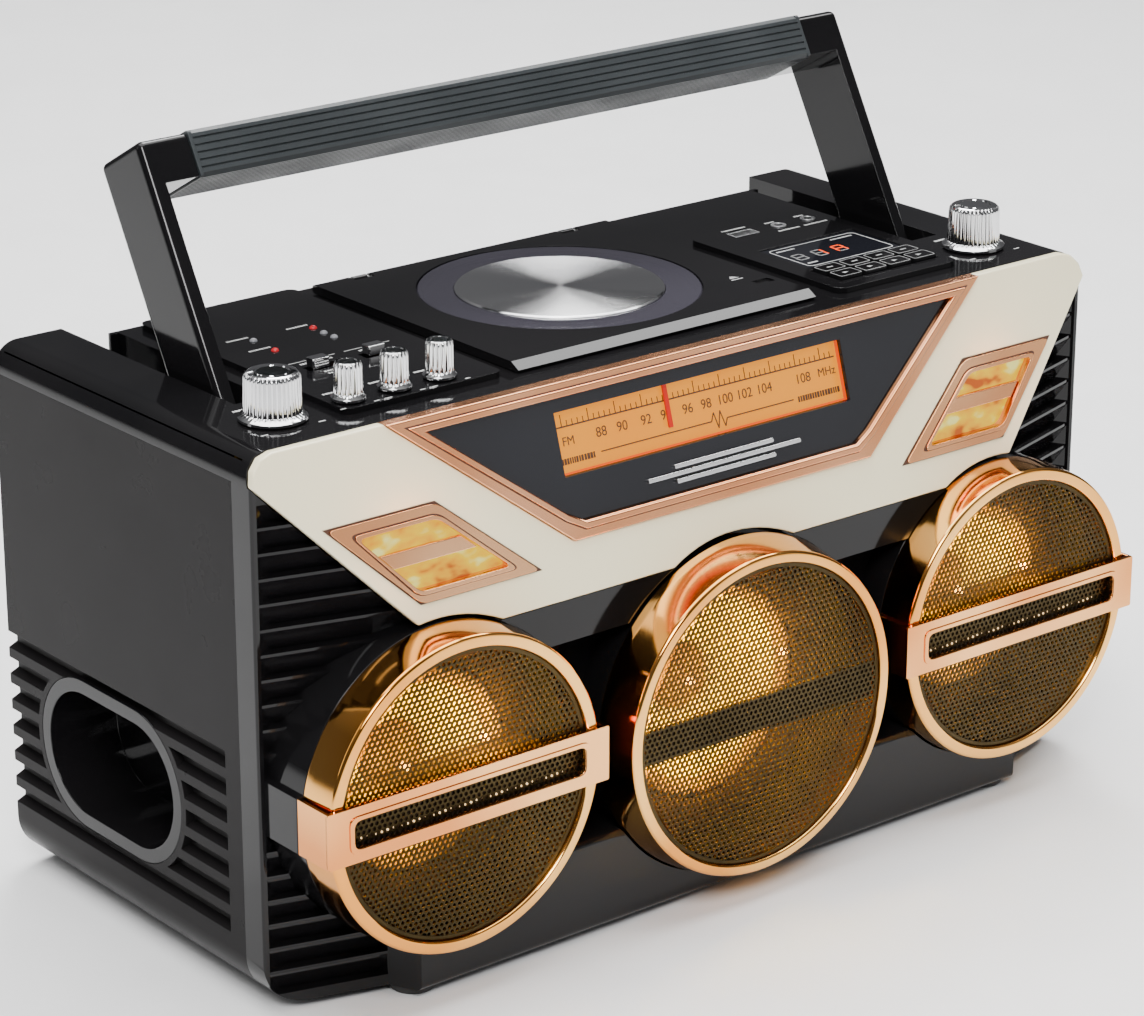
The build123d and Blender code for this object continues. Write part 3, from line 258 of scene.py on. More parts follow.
def piece(name, bm, material, body, stands_for=(), angle=35.0):
    """Turn a bmesh in the shared frame into a named piece that rides on a body."""
    mesh = bpy.data.meshes.new(name)
    bm.to_mesh(mesh)
    bm.free()
    mesh.materials.append(material)
    obj = bpy.data.objects.new(name, mesh)
    bpy.context.scene.collection.objects.link(obj)
    shade(obj, angle)
    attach(obj, body)
    if stands_for:
        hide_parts(*stands_for)


BEVEL_ANGLE = math.radians(28.0)


def bevel_sharp(bm, width, segments=2):
    """Round every convex or concave edge that turns by more than BEVEL_ANGLE."""
    edges = []
    for edge in bm.edges:
        if len(edge.link_faces) == 2 and edge.calc_face_angle(0.0) > BEVEL_ANGLE:
            edges.append(edge)
    bmesh.ops.bevel(
        bm, geom=edges, offset=width * MM, segments=segments, profile=0.5, affect="EDGES",
        clamp_overlap=True,
    )


def refined(node, material, width, segments=2):
    """Copy of a CAD node with coplanar faces merged and its edges rounded, shown in its place."""
    bm = bmesh.new()
    bm.from_mesh(NODES[node].data)
    bmesh.ops.remove_doubles(bm, verts=bm.verts, dist=2e-6)
    bmesh.ops.dissolve_limit(bm, angle_limit=math.radians(0.6), verts=bm.verts, edges=bm.edges)
    bevel_sharp(bm, width, segments)
    piece(node + "_finish", bm, material, NODES[node]["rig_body"], (node,))


def prism(outline, place_front, place_back):
    """Closed solid between two placed copies of a flat outline."""
    bm = bmesh.new()
    front = [bm.verts.new(place_front(a, b)) for a, b in outline]
    back = [bm.verts.new(place_back(a, b)) for a, b in outline]
    bm.faces.new(front)
    bm.faces.new(list(reversed(back)))
    count = len(outline)
    for i in range(count):
        j = (i + 1) % count
        bm.faces.new((front[j], front[i], back[i], back[j]))
    bmesh.ops.recalc_face_normals(bm, faces=bm.faces)
    return bm


def lean_prism(outline, front, back):
    """Solid between two planes parallel to the ivory front."""
    return prism(
        outline, lambda x, z: at(x, lean_y(z, front), z), lambda x, z: at(x, lean_y(z, back), z)
    )


def slab(x0, x1, y0, y1, z0, z1):
    corners = [(x0, y0), (x1, y0), (x1, y1), (x0, y1)]
    return prism(corners, lambda x, y: at(x, y, z1), lambda x, y: at(x, y, z0))


def lathe(profile, steps, place, flute=None):
    """Revolve (radius, height) points; flute(height index, angle) may scale the radius."""
    bm = bmesh.new()
    rows = []
    for index, (radius, height) in enumerate(profile):
        if radius < 1e-6:
            rows.append([bm.verts.new(place(0.0, 0.0, height))])
            continue
        row = []
        for step in range(steps):
            angle = 2 * math.pi * step / steps
            r = radius * (flute(index, angle) if flute else 1.0)
            row.append(bm.verts.new(place(r * math.cos(angle), r * math.sin(angle), height)))
        rows.append(row)
    for low, high in zip(rows, rows[1:]):
        for step in range(steps):
            nxt = (step + 1) % steps
            ring = [low[step % len(low)], low[nxt % len(low)]]
            ring += [high[nxt % len(high)], high[step % len(high)]]
            bm.faces.new(list(dict.fromkeys(ring)))
    bmesh.ops.recalc_face_normals(bm, faces=bm.faces)
    return bm


def lathe_z(x, y, profile, steps=96, flute=None):
    return lathe(profile, steps, lambda a, b, h: at(x + a, y + b, h), flute)


def lathe_y(x, z, profile, steps=160):
    return lathe(profile, steps, lambda a, b, h: at(x + a, h, z + b))


def joined(parts):
    """One bmesh out of several."""
    whole = bmesh.new()
    for part in parts:
        mesh = bpy.data.meshes.new("part")
        part.to_mesh(mesh)
        part.free()
        whole.from_mesh(mesh)
        bpy.data.meshes.remove(mesh)
    return whole


def rounded(points, radius, steps=5):
    """Closed outline with every corner replaced by an arc of about the given radius."""
    made = []
    count = len(points)
    for i in range(count):
        p = Vector(points[i])
        a = Vector(points[i - 1]) - p
        b = Vector(points[(i + 1) % count]) - p
        reach = min(radius, a.length * 0.45, b.length * 0.45)
        first = p + a.normalized() * reach
        last = p + b.normalized() * reach
        for s in range(steps + 1):
            t = s / steps
            q = first * (1 - t) ** 2 + p * 2 * t * (1 - t) + last * t ** 2
            made.append((q.x, q.y))
    return made


def grown(outline, gap):
    """Clockwise outline moved outwards by the gap, corners kept sharp."""
    made = []
    for i, point in enumerate(outline):
        p = Vector(point)
        before = (p - Vector(outline[i - 1])).normalized()
        after = (Vector(outline[(i + 1) % len(outline)]) - p).normalized()
        n1, n2 = Vector((-before.y, before.x)), Vector((-after.y, after.x))
        made.append(tuple(p + (n1 + n2) * gap / (1 + n1.dot(n2))))
    return made


# ---------------------------------------------------------------- casing
refined("front_shell", GLOSS_BLACK, 0.35)
refined("rear_cabinet", SATIN_BLACK, 0.35)
refined("top_deck", DECK_BLACK, 0.4)
refined("side_ports", GLOSS_BLACK, 0.4)
refined("speaker_pods", GLOSS_BLACK, 0.4)
refined("battery_door", SATIN_BLACK, 0.2)
refined("mains_inlet", INNER_BLACK, 0.2)
refined("handle_frame", GLOSS_BLACK, 0.6, 3)
refined("control_panel_left", DECK_BLACK, 0.5, 3)
refined("control_panel_right", DECK_BLACK, 0.5, 3)
refined("v_panel", IVORY, 0.8, 3)
refined("dial_bezel", ROSE_GOLD, 0.55, 3)
refined("dial_window", WINDOW_BLACK, 0.15)
refined("cd_lid", DECK_BLACK, 0.4)
refined("panel_sockets", STEEL, 0.2)
refined("case_screws", STEEL, 0.15)
refined("feet", FOOT_RUBBER, 0.3)
for number in (1, 2):
    refined(f"slide_cap_{number}", CHROME, 0.5, 3)

PLAIN = {
    "aerial_tube": CHROME,
    "aerial_tip": CHROME,
    "transformer": STEEL,
    "circuit_boards": BOARD,
    "driver_baskets": INNER_BLACK,
    "potentiometers": STEEL,
    "hinge_pins": STEEL,
    "cd_carrier": STEEL,
    "cd_pickup": MECHANISM,
    "cd_hub": MECHANISM,
    "cd_well": INNER_BLACK,
}
for node, material in PLAIN.items():
    NODES[node].data.materials.clear()
    NODES[node].data.materials.append(material)

# ---------------------------------------------------------------- speakers
SIDE_X, SIDE_Z, SIDE_R, SIDE_Y = 146.0, 87.4, 58.4, -38.0
MID_X, MID_Z, MID_R, MID_Y = 0.0, 82.0, 63.1, -42.0
SPEAKERS = (
    ("left", -SIDE_X, SIDE_Z, SIDE_R, SIDE_Y),
    ("centre", MID_X, MID_Z, MID_R, MID_Y),
    ("right", SIDE_X, SIDE_Z, SIDE_R, SIDE_Y),
)

# perforated sheet: spacing, radius and corner count of the holes, and its thickness
HOLE_PITCH, HOLE_RADIUS, HOLE_CORNERS, SHEET = 2.45, 0.84, 12, 0.8


def perforated(x, z, radius, y):
    """Flat disc of hexagonal cells, each with a round hole that has depth."""
    bm = bmesh.new()
    side = HOLE_PITCH / math.sqrt(3)
    row_step = HOLE_PITCH * math.sqrt(3) / 2
    reach = radius - 0.6
    shared = {}

    def corner(px, pz, level):
        key = (round(px * 50), round(pz * 50), level)
        if key not in shared:
            shared[key] = bm.verts.new(at(x + px, level, z + pz))
        return shared[key]

    rows = int(reach / row_step) + 1
    for row in range(-rows, rows + 1):
        for column in range(-rows, rows + 1):
            cx = HOLE_PITCH * (column + (row % 2) / 2)
            cz = row_step * row
            if math.hypot(cx, cz) > reach - HOLE_PITCH * 0.4:
                continue
            outer, front, back = [], [], []
            for k in range(HOLE_CORNERS):
                angle = 2 * math.pi * k / HOLE_CORNERS + math.pi / 6
                flat = side if k % 2 == 0 else HOLE_PITCH / 2
                outer.append(corner(cx + flat * math.cos(angle), cz + flat * math.sin(angle), y))
                px, pz = cx + HOLE_RADIUS * math.cos(angle), cz + HOLE_RADIUS * math.sin(angle)
                front.append(bm.verts.new(at(x + px, y + 0.12, z + pz)))
                back.append(bm.verts.new(at(x + px, y + SHEET, z + pz)))
            for k in range(HOLE_CORNERS):
                j = (k + 1) % HOLE_CORNERS
                bm.faces.new((outer[k], outer[j], front[j], front[k]))
                bm.faces.new((front[k], front[j], back[j], back[k]))
    return bm


def turned_ring(x, z, profile, corner_radius):
    """Ring turned about a speaker's axis from a closed (radius, y) outline."""
    outline = rounded(profile, corner_radius, 4)
    bm = lathe_y(x, z, outline + outline[:1])
    bmesh.ops.remove_doubles(bm, verts=bm.verts, dist=1e-6)
    bmesh.ops.recalc_face_normals(bm, faces=bm.faces)
    return bm


SIDE_PROFILE = [
    (58.6, -35.4), (58.6, -39.2), (59.4, -40.0), (63.2, -39.7), (64.0, -38.8),
    (64.7, -26.2), (64.8, -22.2), (62.4, -22.2), (61.0, -35.4),
]
MID_PROFILE = [
    (63.3, -39.4), (63.3, -43.0), (64.1, -43.8), (67.3, -43.5), (68.1, -42.6),
    (70.5, -28.2), (70.8, -24.2), (67.1, -24.2), (65.5, -39.4),
]

for side, x, z, radius, y in SPEAKERS:
    profile = SIDE_PROFILE if x else MID_PROFILE
    ring = turned_ring(x, z, profile, 0.7)
    piece(f"ring_{side}", ring, RING_GOLD, "casing", (f"speaker_ring_{side}",))
    mesh = perforated(x, z, radius, y)
    hem = [(radius - 1.6, y + 0.7), (radius - 1.6, y - 0.05), (radius, y - 0.05), (radius, y + 0.7)]
    grille = joined([mesh, turned_ring(x, z, hem, 0.2)])
    piece(f"grille_{side}", grille, BRONZE, "casing", (f"speaker_grille_{side}",), 50)

# drivers behind the grilles; the small bulbs in front of them light the mesh from inside
CONE_EDGE_Y, CONE_NECK_Y = -5.0, 11.2
BULB = [(0.0, -18.0), (1.0, -17.7), (1.5, -16.8), (1.6, -14.5), (0.0, -14.5)]
SIDE_BULBS = ((-42, 6), (-12, 7), (26, 9))
MID_BULBS = ((-46, 9), (-16, 10), (34, 10))
EIGHTHS = [math.pi * k / 8 for k in range(9)]
cones, surrounds, caps, lamps, baffles = [], [], [], [], []
for side, x, z, radius, y in SPEAKERS:
    seat = radius - 8.0
    cone = [(seat - 15.6, CONE_EDGE_Y), (32, 0.2), (24, 5.8), (13.6, CONE_NECK_Y)]
    cones.append(lathe_y(x, z, cone, 96))
    roll = [(seat - 12 - 4.0 * math.cos(t), CONE_EDGE_Y - 3.4 * math.sin(t)) for t in EIGHTHS]
    surrounds.append(lathe_y(x, z, roll, 96))
    dome = [(14.2 * math.sin(t / 2), CONE_NECK_Y - 9.0 * math.cos(t / 2)) for t in EIGHTHS]
    caps.append(lathe_y(x, z, dome, 72))
    for dx, dz in SIDE_BULBS if x else MID_BULBS:
        lamps.append(lathe_y(x + dx, z + dz, BULB, 20))
    baffle = [(radius - 16.2, -4.6), (radius - 15.4, -8.8), (radius - 6.4, -8.8), (radius + 4.4, -4.6)]
    baffles.append(lathe_y(x, z, baffle, 96))
piece("cones", joined(cones), PAPER, "casing", ("driver_cones",), 50)
piece("driver_baffles", joined(baffles), STIFFENER, "casing", ("driver_baskets",), 40)
piece("cone_surrounds", joined(surrounds), SURROUND, "casing", ("driver_cones",), 60)
piece("dust_caps", joined(caps), CAP, "casing", ("driver_cones",), 60)
piece("speaker_lamps", joined(lamps), LAMP_AMBER, "casing", angle=60)


def point_light(name, place, power, colour):
    """Small lamp inside the case; it isn't mirrored in glossy parts."""
    data = bpy.data.lights.new(name, "POINT")
    data.energy = power
    data.color = colour
    data.shadow_soft_size = 0.006
    lamp = bpy.data.objects.new(name, data)
    lamp.location = place
    lamp.visible_glossy = False
    bpy.context.scene.collection.objects.link(lamp)


AMBER_LIGHT = (1.0, 0.56, 0.0)
SPILL_LIGHT = (1.0, 0.35, 0.04)
LIGHT_Y = -21.0
for side, x, z, radius, y in SPEAKERS:
    for dx, dz in ((-34, 10), (24, 12)):
        point_light(f"glow_{side}_{dx}", at(x + dx, LIGHT_Y, z + dz), 0.62, AMBER_LIGHT)
    low_power = 0.16 if x else 0.42
    point_light(f"glow_{side}_low", at(x - 10, LIGHT_Y, z - 24), low_power, AMBER_LIGHT)
for side in (-1, 1):
    place = at(side * 152, lean_y(186, -10), 186)
    point_light(f"indicator_spill_{side}", place, 0.03, SPILL_LIGHT)

# half length and half height of the bars across the side speakers
BAR_HALF_X, BAR_HALF_Z = 66.6, 11.35


def ring_prism(outer, inner, place_front, place_back):
    """Solid frame between two outlines with the same number of points."""
    bm = bmesh.new()
    loops = []
    for outline in (outer, inner):
        loops.append([bm.verts.new(place_front(a, b)) for a, b in outline])
        loops.append([bm.verts.new(place_back(a, b)) for a, b in outline])
    outer_front, outer_back, inner_front, inner_back = loops
    count = len(outer)
    for i in range(count):
        j = (i + 1) % count
        bm.faces.new((outer_front[i], outer_front[j], inner_front[j], inner_front[i]))
        bm.faces.new((outer_back[i], outer_back[j], inner_back[j], inner_back[i]))
        bm.faces.new((outer_front[i], outer_front[j], outer_back[j], outer_back[i]))
        bm.faces.new((inner_front[i], inner_front[j], inner_back[j], inner_back[i]))
    bmesh.ops.recalc_face_normals(bm, faces=bm.faces)
    return bm


def rectangle(x, y, half_x, half_y):
    """Corners of a rectangle about a centre, anticlockwise."""
    left, right, low, high = x - half_x, x + half_x, y - half_y, y + half_y
    return [(left, low), (right, low), (right, high), (left, high)]


def front_frame(outer, inner, front, back):
    """Frame between two upright planes, given by their Y."""
    return ring_prism(outer, inner, lambda x, z: at(x, front, z), lambda x, z: at(x, back, z))


bars = []
for x in (-SIDE_X, SIDE_X):
    slot = rounded(rectangle(x, SIDE_Z, 55.0, 5.8), 3.2, 3)
    edge = rounded(rectangle(x, SIDE_Z, BAR_HALF_X, BAR_HALF_Z), 0.8, 3)
    bar = front_frame(edge, slot, -42.0, -40.1)
    bevel_sharp(bar, 0.45, 3)
    lip = front_frame(rounded(rectangle(x, SIDE_Z, 57.0, 7.6), 3.6, 3), slot, -42.6, -41.9)
    bevel_sharp(lip, 0.3)
    bars += [bar, lip]
    for end in (-1, 1):
        tab_x = sorted((x + end * (BAR_HALF_X - 1.5), x + end * BAR_HALF_X))
        tab = slab(*tab_x, -41.4, -22.3, SIDE_Z - BAR_HALF_Z, SIDE_Z + BAR_HALF_Z)
        bevel_sharp(tab, 0.4)
        bars.append(tab)
piece("grille_bar_trim", joined(bars), BAR_GOLD, "casing", ("grille_bars",))
# dark strips behind the grilles, with a row of rivets that shows through the slots in the bars; the rivets
# glow as emitters, painted glints rather than lamps
shelves = [slab(-60.5, 60.5, -40.8, -38.6, MID_Z - 7, MID_Z + 7)]
for x in (-SIDE_X, SIDE_X):
    shelves.append(slab(x - 55, x + 55, -36.6, -35.4, SIDE_Z - 10.5, SIDE_Z + 9.5))
    shelves.append(slab(x - 48, x + 48, -35.4, -9.0, SIDE_Z + 2.0, SIDE_Z + 3.4))
piece("grille_stiffeners", joined(shelves), STIFFENER, "casing", ("grille_bars",))
RIVET = [(0.0, -37.5), (0.36, -37.4), (0.45, -37.1), (0.45, -36.5)]
dots = []
for x in (-SIDE_X, SIDE_X):
    for i in range(33):
        dots.append(lathe_y(x - 48 + 3 * i, SIDE_Z - 4.6, RIVET, 10))
piece("stiffener_rivets_painted_glint", joined(dots), RIVET_PAINTED_GLINT, "casing", angle=60)

# ---------------------------------------------------------------- indicators on the ivory panel
FRAME_OUTER = [(-188.0, 194.5), (-137.8, 194.5), (-96.0, 160.5), (-152.5, 160.5)]
FRAME_INNER = [(-175.7, 189.3), (-139.0, 189.3), (-109.5, 165.2), (-152.5, 165.2)]
FRAME_LIP = [(-178.2, 190.8), (-138.2, 190.8), (-106.4, 163.7), (-153.4, 163.7)]
CROSS_BAR = [(-166.6, 180.5), (-128.8, 180.5), (-122.4, 174.9), (-161.2, 174.9)]


def as_drawn(outline):
    return outline


def mirrored(outline):
    """The same outline on the other side of the case."""
    return [(-x, z) for x, z in reversed(outline)]


def lean_frame(outer, inner, front, back):
    """Frame between two planes parallel to the ivory front."""
    return ring_prism(
        outer, inner, lambda x, z: at(x, lean_y(z, front), z), lambda x, z: at(x, lean_y(z, back), z)
    )


frames, lenses, painted_shade_lines = [], [], []
for turn in (as_drawn, mirrored):
    plate = lean_frame(rounded(turn(FRAME_OUTER), 3.5), rounded(turn(FRAME_INNER), 3.5), -1.0, 3.8)
    bevel_sharp(plate, 0.4, 3)
    lip = lean_frame(rounded(turn(FRAME_LIP), 4.0), rounded(turn(FRAME_INNER), 3.5), -1.9, 0.5)
    bevel_sharp(lip, 0.5, 3)
    bridge = lean_prism(turn(CROSS_BAR), -0.2, 1.6)
    bevel_sharp(bridge, 0.35)
    frames += [plate, lip, bridge]
    lenses.append(lean_prism(rounded(turn(FRAME_INNER), 3.3), 1.9, 3.8))
    # painted shade: thin brown bands round the foot of the plate on the ivory and round the foot of the lip
    # on the plate stand for the shade in those gaps
    painted_shade_lines.append(lean_frame(grown(turn(FRAME_OUTER), 0.45), grown(turn(FRAME_OUTER), -0.4), -0.12, 0.4))
    shade_line_outer = rounded(grown(turn(FRAME_LIP), 0.45), 4.0)
    shade_line_inner = rounded(grown(turn(FRAME_LIP), -0.3), 4.0)
    painted_shade_lines.append(lean_frame(shade_line_outer, shade_line_inner, -1.08, -0.8))
piece("indicator_trim", joined(frames), PALE_GOLD, "casing", ("indicator_frames",))
piece("indicator_painted_shade_lines", joined(painted_shade_lines), BROWN_PRINT_AND_SHADE, "casing")
piece("indicator_glass", joined(lenses), AMBER, "casing", ("indicator_lenses",))

# ---------------------------------------------------------------- dial
DIAL_LEFT, DIAL_RIGHT, DIAL_LOW, DIAL_TOP = -75.3, 73.5, 190.3, 214.5
GLASS = [(-136.5, 220.5), (136.5, 220.5), (79.0, 178.0), (71.0, 173.8), (-71.0, 173.8), (-79.0, 178.0)]
CARD = 4.6  # depth of the printed card behind the ivory front
INK = CARD - 0.2
LETTERS = CARD - 0.15

lip = lean_frame(grown(GLASS, 2.7), grown(GLASS, 0.15), -2.5, -1.4)
bevel_sharp(lip, 0.7, 3)
# painted shade: a thin brown band on the ivory round the foot of the bezel lip stands for the shade in its
# groove
bezel_groove_shade = lean_frame(grown(GLASS, 3.2), grown(GLASS, 2.6), -1.66, -1.4)
piece("bezel_lip", lip, ROSE_GOLD, "casing")
piece("bezel_groove_painted_shade", bezel_groove_shade, BROWN_PRINT_AND_SHADE, "casing")
LEAN_RIGHT = Vector((1, 0, 0))
LEAN_UP = Vector((0, V_LEAN, 1)).normalized()
LEAN_TURN = Matrix((LEAN_RIGHT, LEAN_UP, LEAN_RIGHT.cross(LEAN_UP))).transposed().to_4x4()


def printed(text, size, x, z):
    """Small lettering on the dial card, as a mesh."""
    curve = bpy.data.curves.new("lettering", "FONT")
    curve.body = text
    curve.size = size * MM
    curve.align_x = "CENTER"
    curve.align_y = "CENTER"
    curve.extrude = 0.00005
    obj = bpy.data.objects.new("lettering", curve)
    bpy.context.scene.collection.objects.link(obj)
    bpy.context.view_layer.update()
    mesh = bpy.data.meshes.new_from_object(obj.evaluated_get(bpy.context.evaluated_depsgraph_get()))
    bpy.data.objects.remove(obj)
    bpy.data.curves.remove(curve)
    mesh.transform(Matrix.Translation(at(x, lean_y(z, LETTERS), z)) @ LEAN_TURN)
    bm = bmesh.new()
    bm.from_mesh(mesh)
    bpy.data.meshes.remove(mesh)
    return bm


def lean_rect(x0, x1, z0, z1, front, back):
    return lean_prism([(x0, z0), (x1, z0), (x1, z1), (x0, z1)], front, back)


def ink_line(points, width):
    """Printed line of the given width through the points."""
    strips = []
    for p, q in zip(points, points[1:]):
        p, q = Vector(p), Vector(q)
        run = q - p
        half = Vector((-run.y, run.x)).normalized() * width / 2
        strips.append(lean_prism([p - half, q - half, q + half, p + half], INK, CARD))
    return strips


FREQUENCIES = (
    (88, -51.5), (90, -41.0), (92, -28.8), (94, -18.6), (96, -7.4),
    (98, 2.2), (100, 12.2), (102, 22.4), (104, 33.0), (108, 53.9),
)
PULSE = [
    (-53.2, 194.8), (3.4, 194.8), (5.0, 198.0), (6.6, 191.8),
    (8.4, 198.2), (10.2, 191.9), (11.6, 194.8), (47.1, 194.8),
]
TICK_Z = 207.3
ink = [printed(str(number), 5.6, x, 201.9) for number, x in FREQUENCIES]
ink.append(printed("FM", 5.0, -68.0, 201.6))
ink.append(printed("MHz", 5.0, 66.8, 202.2))
ink.append(lean_rect(-72.5, 72.0, TICK_Z - 0.3, TICK_Z + 0.2, INK, CARD))
for i in range(53):
    x = -70.0 + 2.69 * i
    tall = 4.6 if i % 5 == 0 else 2.2
    ink.append(lean_rect(x - 0.16, x + 0.16, TICK_Z, TICK_Z + tall, INK, CARD))
ink += ink_line(PULSE, 0.42)
for x, end in ((-72.8, -56.5), (49.6, 71.8)):
    while x < end:
        width = random.uniform(0.6, 1.2)
        ink.append(lean_rect(x, x + width, 193.3, 195.5, INK, CARD))
        x += width + random.uniform(0.35, 0.6)
piece("dial_print", joined(ink), BROWN_PRINT_AND_SHADE, "casing", angle=30)
card = lean_rect(DIAL_LEFT - 2.5, DIAL_RIGHT + 2.5, DIAL_LOW - 2.5, DIAL_TOP + 2.0, CARD, 5.8)
piece("dial_card_print", card, DIAL_GLOW, "casing", ("dial_scale",))
dial_x, dial_z = (DIAL_LEFT + DIAL_RIGHT) / 2, (DIAL_LOW + DIAL_TOP) / 2
dial_half_x, dial_half_z = (DIAL_RIGHT - DIAL_LEFT) / 2, (DIAL_TOP - DIAL_LOW) / 2
tunnel = lean_frame(
    rectangle(dial_x, dial_z, dial_half_x + 0.6, dial_half_z + 0.6),
    rectangle(dial_x, dial_z, dial_half_x, dial_half_z),
    2.7,
    CARD,
)
piece("dial_tunnel", tunnel, DIAL_EDGE, "casing")
needle = lean_rect(-19.1, -16.9, 197.2, DIAL_TOP + 0.8, 3.0, 4.0)
bevel_sharp(needle, 0.25)
piece("dial_needle", needle, RED, "pointer", ("dial_pointer",))

ornament = []
for half, z in ((40, 181.2), (26, 184.0), (26, 178.4)):
    strip = lean_prism(rounded(rectangle(3, z, half, 0.8), 0.6, 2), -0.9, 0.55)
    bevel_sharp(strip, 0.25)
    ornament.append(strip)
piece("window_ornament", joined(ornament), CHROME, "casing")

# ---------------------------------------------------------------- knobs
def fluted_knob(x, y, base, radius, height, flutes, depth):
    """Turned knob with a skirt, grooves around its side and a dished top."""

    def flute(index, angle):
        if index in (6, 7, 8, 9):  # the rows of the profile that form the grip
            return 1 - depth * (0.5 + 0.5 * math.cos(flutes * angle)) ** 1.5
        return 1.0

    skirt = radius * 1.19
    top = base + height
    profile = [
        (3.2, base + 0.4), (skirt - 0.5, base + 0.4), (skirt, base + 0.8), (skirt, base + 1.7),
        (skirt - 0.5, base + 2.2), (radius * 1.02, base + 2.9), (radius, base + 3.3),
        (radius * 0.985, base + height * 0.5), (radius * 0.965, top - 2.2), (radius * 0.94, top - 1.2),
        (radius * 0.86, top - 0.3), (radius * 0.80, top), (radius * 0.62, top), (radius * 0.60, top - 0.5),
        (radius * 0.55, top - 0.5), (radius * 0.53, top - 0.05), (0.0, top - 0.05),
    ]
    return lathe_z(x, y, profile, flutes * 10, flute)


LARGE_KNOB_Y, LARGE_KNOB_R, LARGE_KNOB_TOP = 31, 11.2, 245.0
TONE_X = (-151.0, -129.5, -108.0)
for body, x in (("volume", -182), ("tuning", 182)):
    fin_x = x - LARGE_KNOB_R * 0.92, x - LARGE_KNOB_R * 0.64
    fin = slab(*fin_x, LARGE_KNOB_Y + 1.0, LARGE_KNOB_Y + 2.4, LARGE_KNOB_TOP - 1.4, LARGE_KNOB_TOP + 1.1)
    bevel_sharp(fin, 0.35)
    knob = fluted_knob(x, LARGE_KNOB_Y, DECK_Z, LARGE_KNOB_R, LARGE_KNOB_TOP - DECK_Z, 36, 0.085)
    piece(f"{body}_dial", joined([knob, fin]), CHROME, body, (f"{body}_knob",), 30)
for number, x in enumerate(TONE_X, start=1):
    knob = fluted_knob(x, 26, PLATE_Z, 5.7, 15.5, 18, 0.12)
    stands_for = (f"tone_knob_{number}",)
    piece(f"tone_dial_{number}", knob, CHROME, f"tone_{number}", stands_for, 30)

# ---------------------------------------------------------------- disc lid
DISC_Y, DISC_Z = 87, 229.0
WINDOW_RING = [
    (43.6, 227.7), (58.6, 227.7), (58.75, 229.2), (58.2, 229.75), (52, 229.75), (51.7, 229.55),
    (44, 229.55), (43.6, 229.3), (43.6, 227.7),
]
ring = lathe_z(0, DISC_Y, WINDOW_RING, 180)
bmesh.ops.remove_doubles(ring, verts=ring.verts, dist=1e-6)
piece("lid_window_ring", ring, LID_CLEAR, "lid", ("cd_lid_window",))
# the spun disc keeps its origin on its own axis, because the turned finish runs around the origin
SPUN_PLATE = [
    (0, 230.35), (5.0, 230.35), (42.3, 230.35), (42.9, 230.2), (43.35, 229.7), (43.35, 227.8), (0, 227.8),
]
spun = lathe(SPUN_PLATE, 240, lambda a, b, h: Vector((a * MM, b * MM, (h - DISC_Z) * MM)))
mesh = bpy.data.meshes.new("lid_disc_spun")
spun.to_mesh(mesh)
spun.free()
mesh.materials.append(SPUN)
disc = bpy.data.objects.new("lid_disc_spun", mesh)
disc.location = at(0, DISC_Y, DISC_Z)
bpy.context.scene.collection.objects.link(disc)
shade(disc)
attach(disc, "lid")
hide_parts("cd_lid_disc")

# ---------------------------------------------------------------- grip
HANDLE_TURN = Matrix.Rotation(-math.radians(29), 4, "X")


def handle_point(x, y, z):
    """Place of a point given from the handle's pivot, with z along its leaning arms."""
    return at(0, 72.0, 196.0) + HANDLE_TURN @ Vector((x * MM, y * MM, z * MM))


def along_handle(outline, start, end):
    """Solid with a (y, z) outline that runs along the handle from one X to another."""
    return prism(outline, lambda y, z: handle_point(start, y, z), lambda y, z: handle_point(end, y, z))


def notched(start, end, count, depth, share):
    """Points along an edge with flat-bottomed grooves cut square to it."""
    a, b = Vector(start), Vector(end)
    along = (b - a) / count
    inward = Vector((-along.y, along.x)).normalized() * depth
    points = []
    for i in range(count):
        p = a + along * (i + 0.5 - share / 2)
        q = a + along * (i + 0.5 + share / 2)
        points += [p, p + along * 0.06 + inward, q - along * 0.06 + inward, q]
    return [tuple(point) for point in points]


GRIP_LOW, GRIP_TOP, GRIP_HALF, GRIP_END = 107.9, 127.1, 16.8, 158.3
section = [(-GRIP_HALF, GRIP_LOW + 1.6), (-GRIP_HALF + 1.6, GRIP_LOW)]
section += notched((-GRIP_HALF + 2.4, GRIP_LOW), (GRIP_HALF - 2.4, GRIP_LOW), 11, 0.8, 0.42)
section += [(GRIP_HALF - 1.6, GRIP_LOW), (GRIP_HALF, GRIP_LOW + 1.6)]
section += notched((GRIP_HALF, GRIP_LOW + 2.2), (GRIP_HALF, GRIP_TOP - 2.2), 5, 0.7, 0.3)
section += [(GRIP_HALF, GRIP_TOP - 1.8), (GRIP_HALF - 1.8, GRIP_TOP)]
section += [(-GRIP_HALF + 1.8, GRIP_TOP), (-GRIP_HALF, GRIP_TOP - 1.8)]
section += notched((-GRIP_HALF, GRIP_TOP - 2.2), (-GRIP_HALF, GRIP_LOW + 2.2), 5, 0.7, 0.3)
sleeve = [along_handle(section, -GRIP_END + 1.6, GRIP_END - 1.6)]
cap_outline = rounded(
    [(-GRIP_HALF, GRIP_LOW), (GRIP_HALF, GRIP_LOW), (GRIP_HALF, GRIP_TOP), (-GRIP_HALF, GRIP_TOP)], 1.6, 3
)
for end in (-1, 1):
    cap = along_handle(cap_outline, end * (GRIP_END - 1.7), end * GRIP_END)
    bevel_sharp(cap, 0.3)
    sleeve.append(cap)
piece("grip_sleeve", joined(sleeve), RUBBER, "handle", ("handle_grip",), 30)

# ---------------------------------------------------------------- keys, display, switches, lamps
KEY_TOP = PLATE_Z + 1.4
PRINT_UP, PRINT_DOWN = 0.06, 0.02  # print stands this far above and below its surface


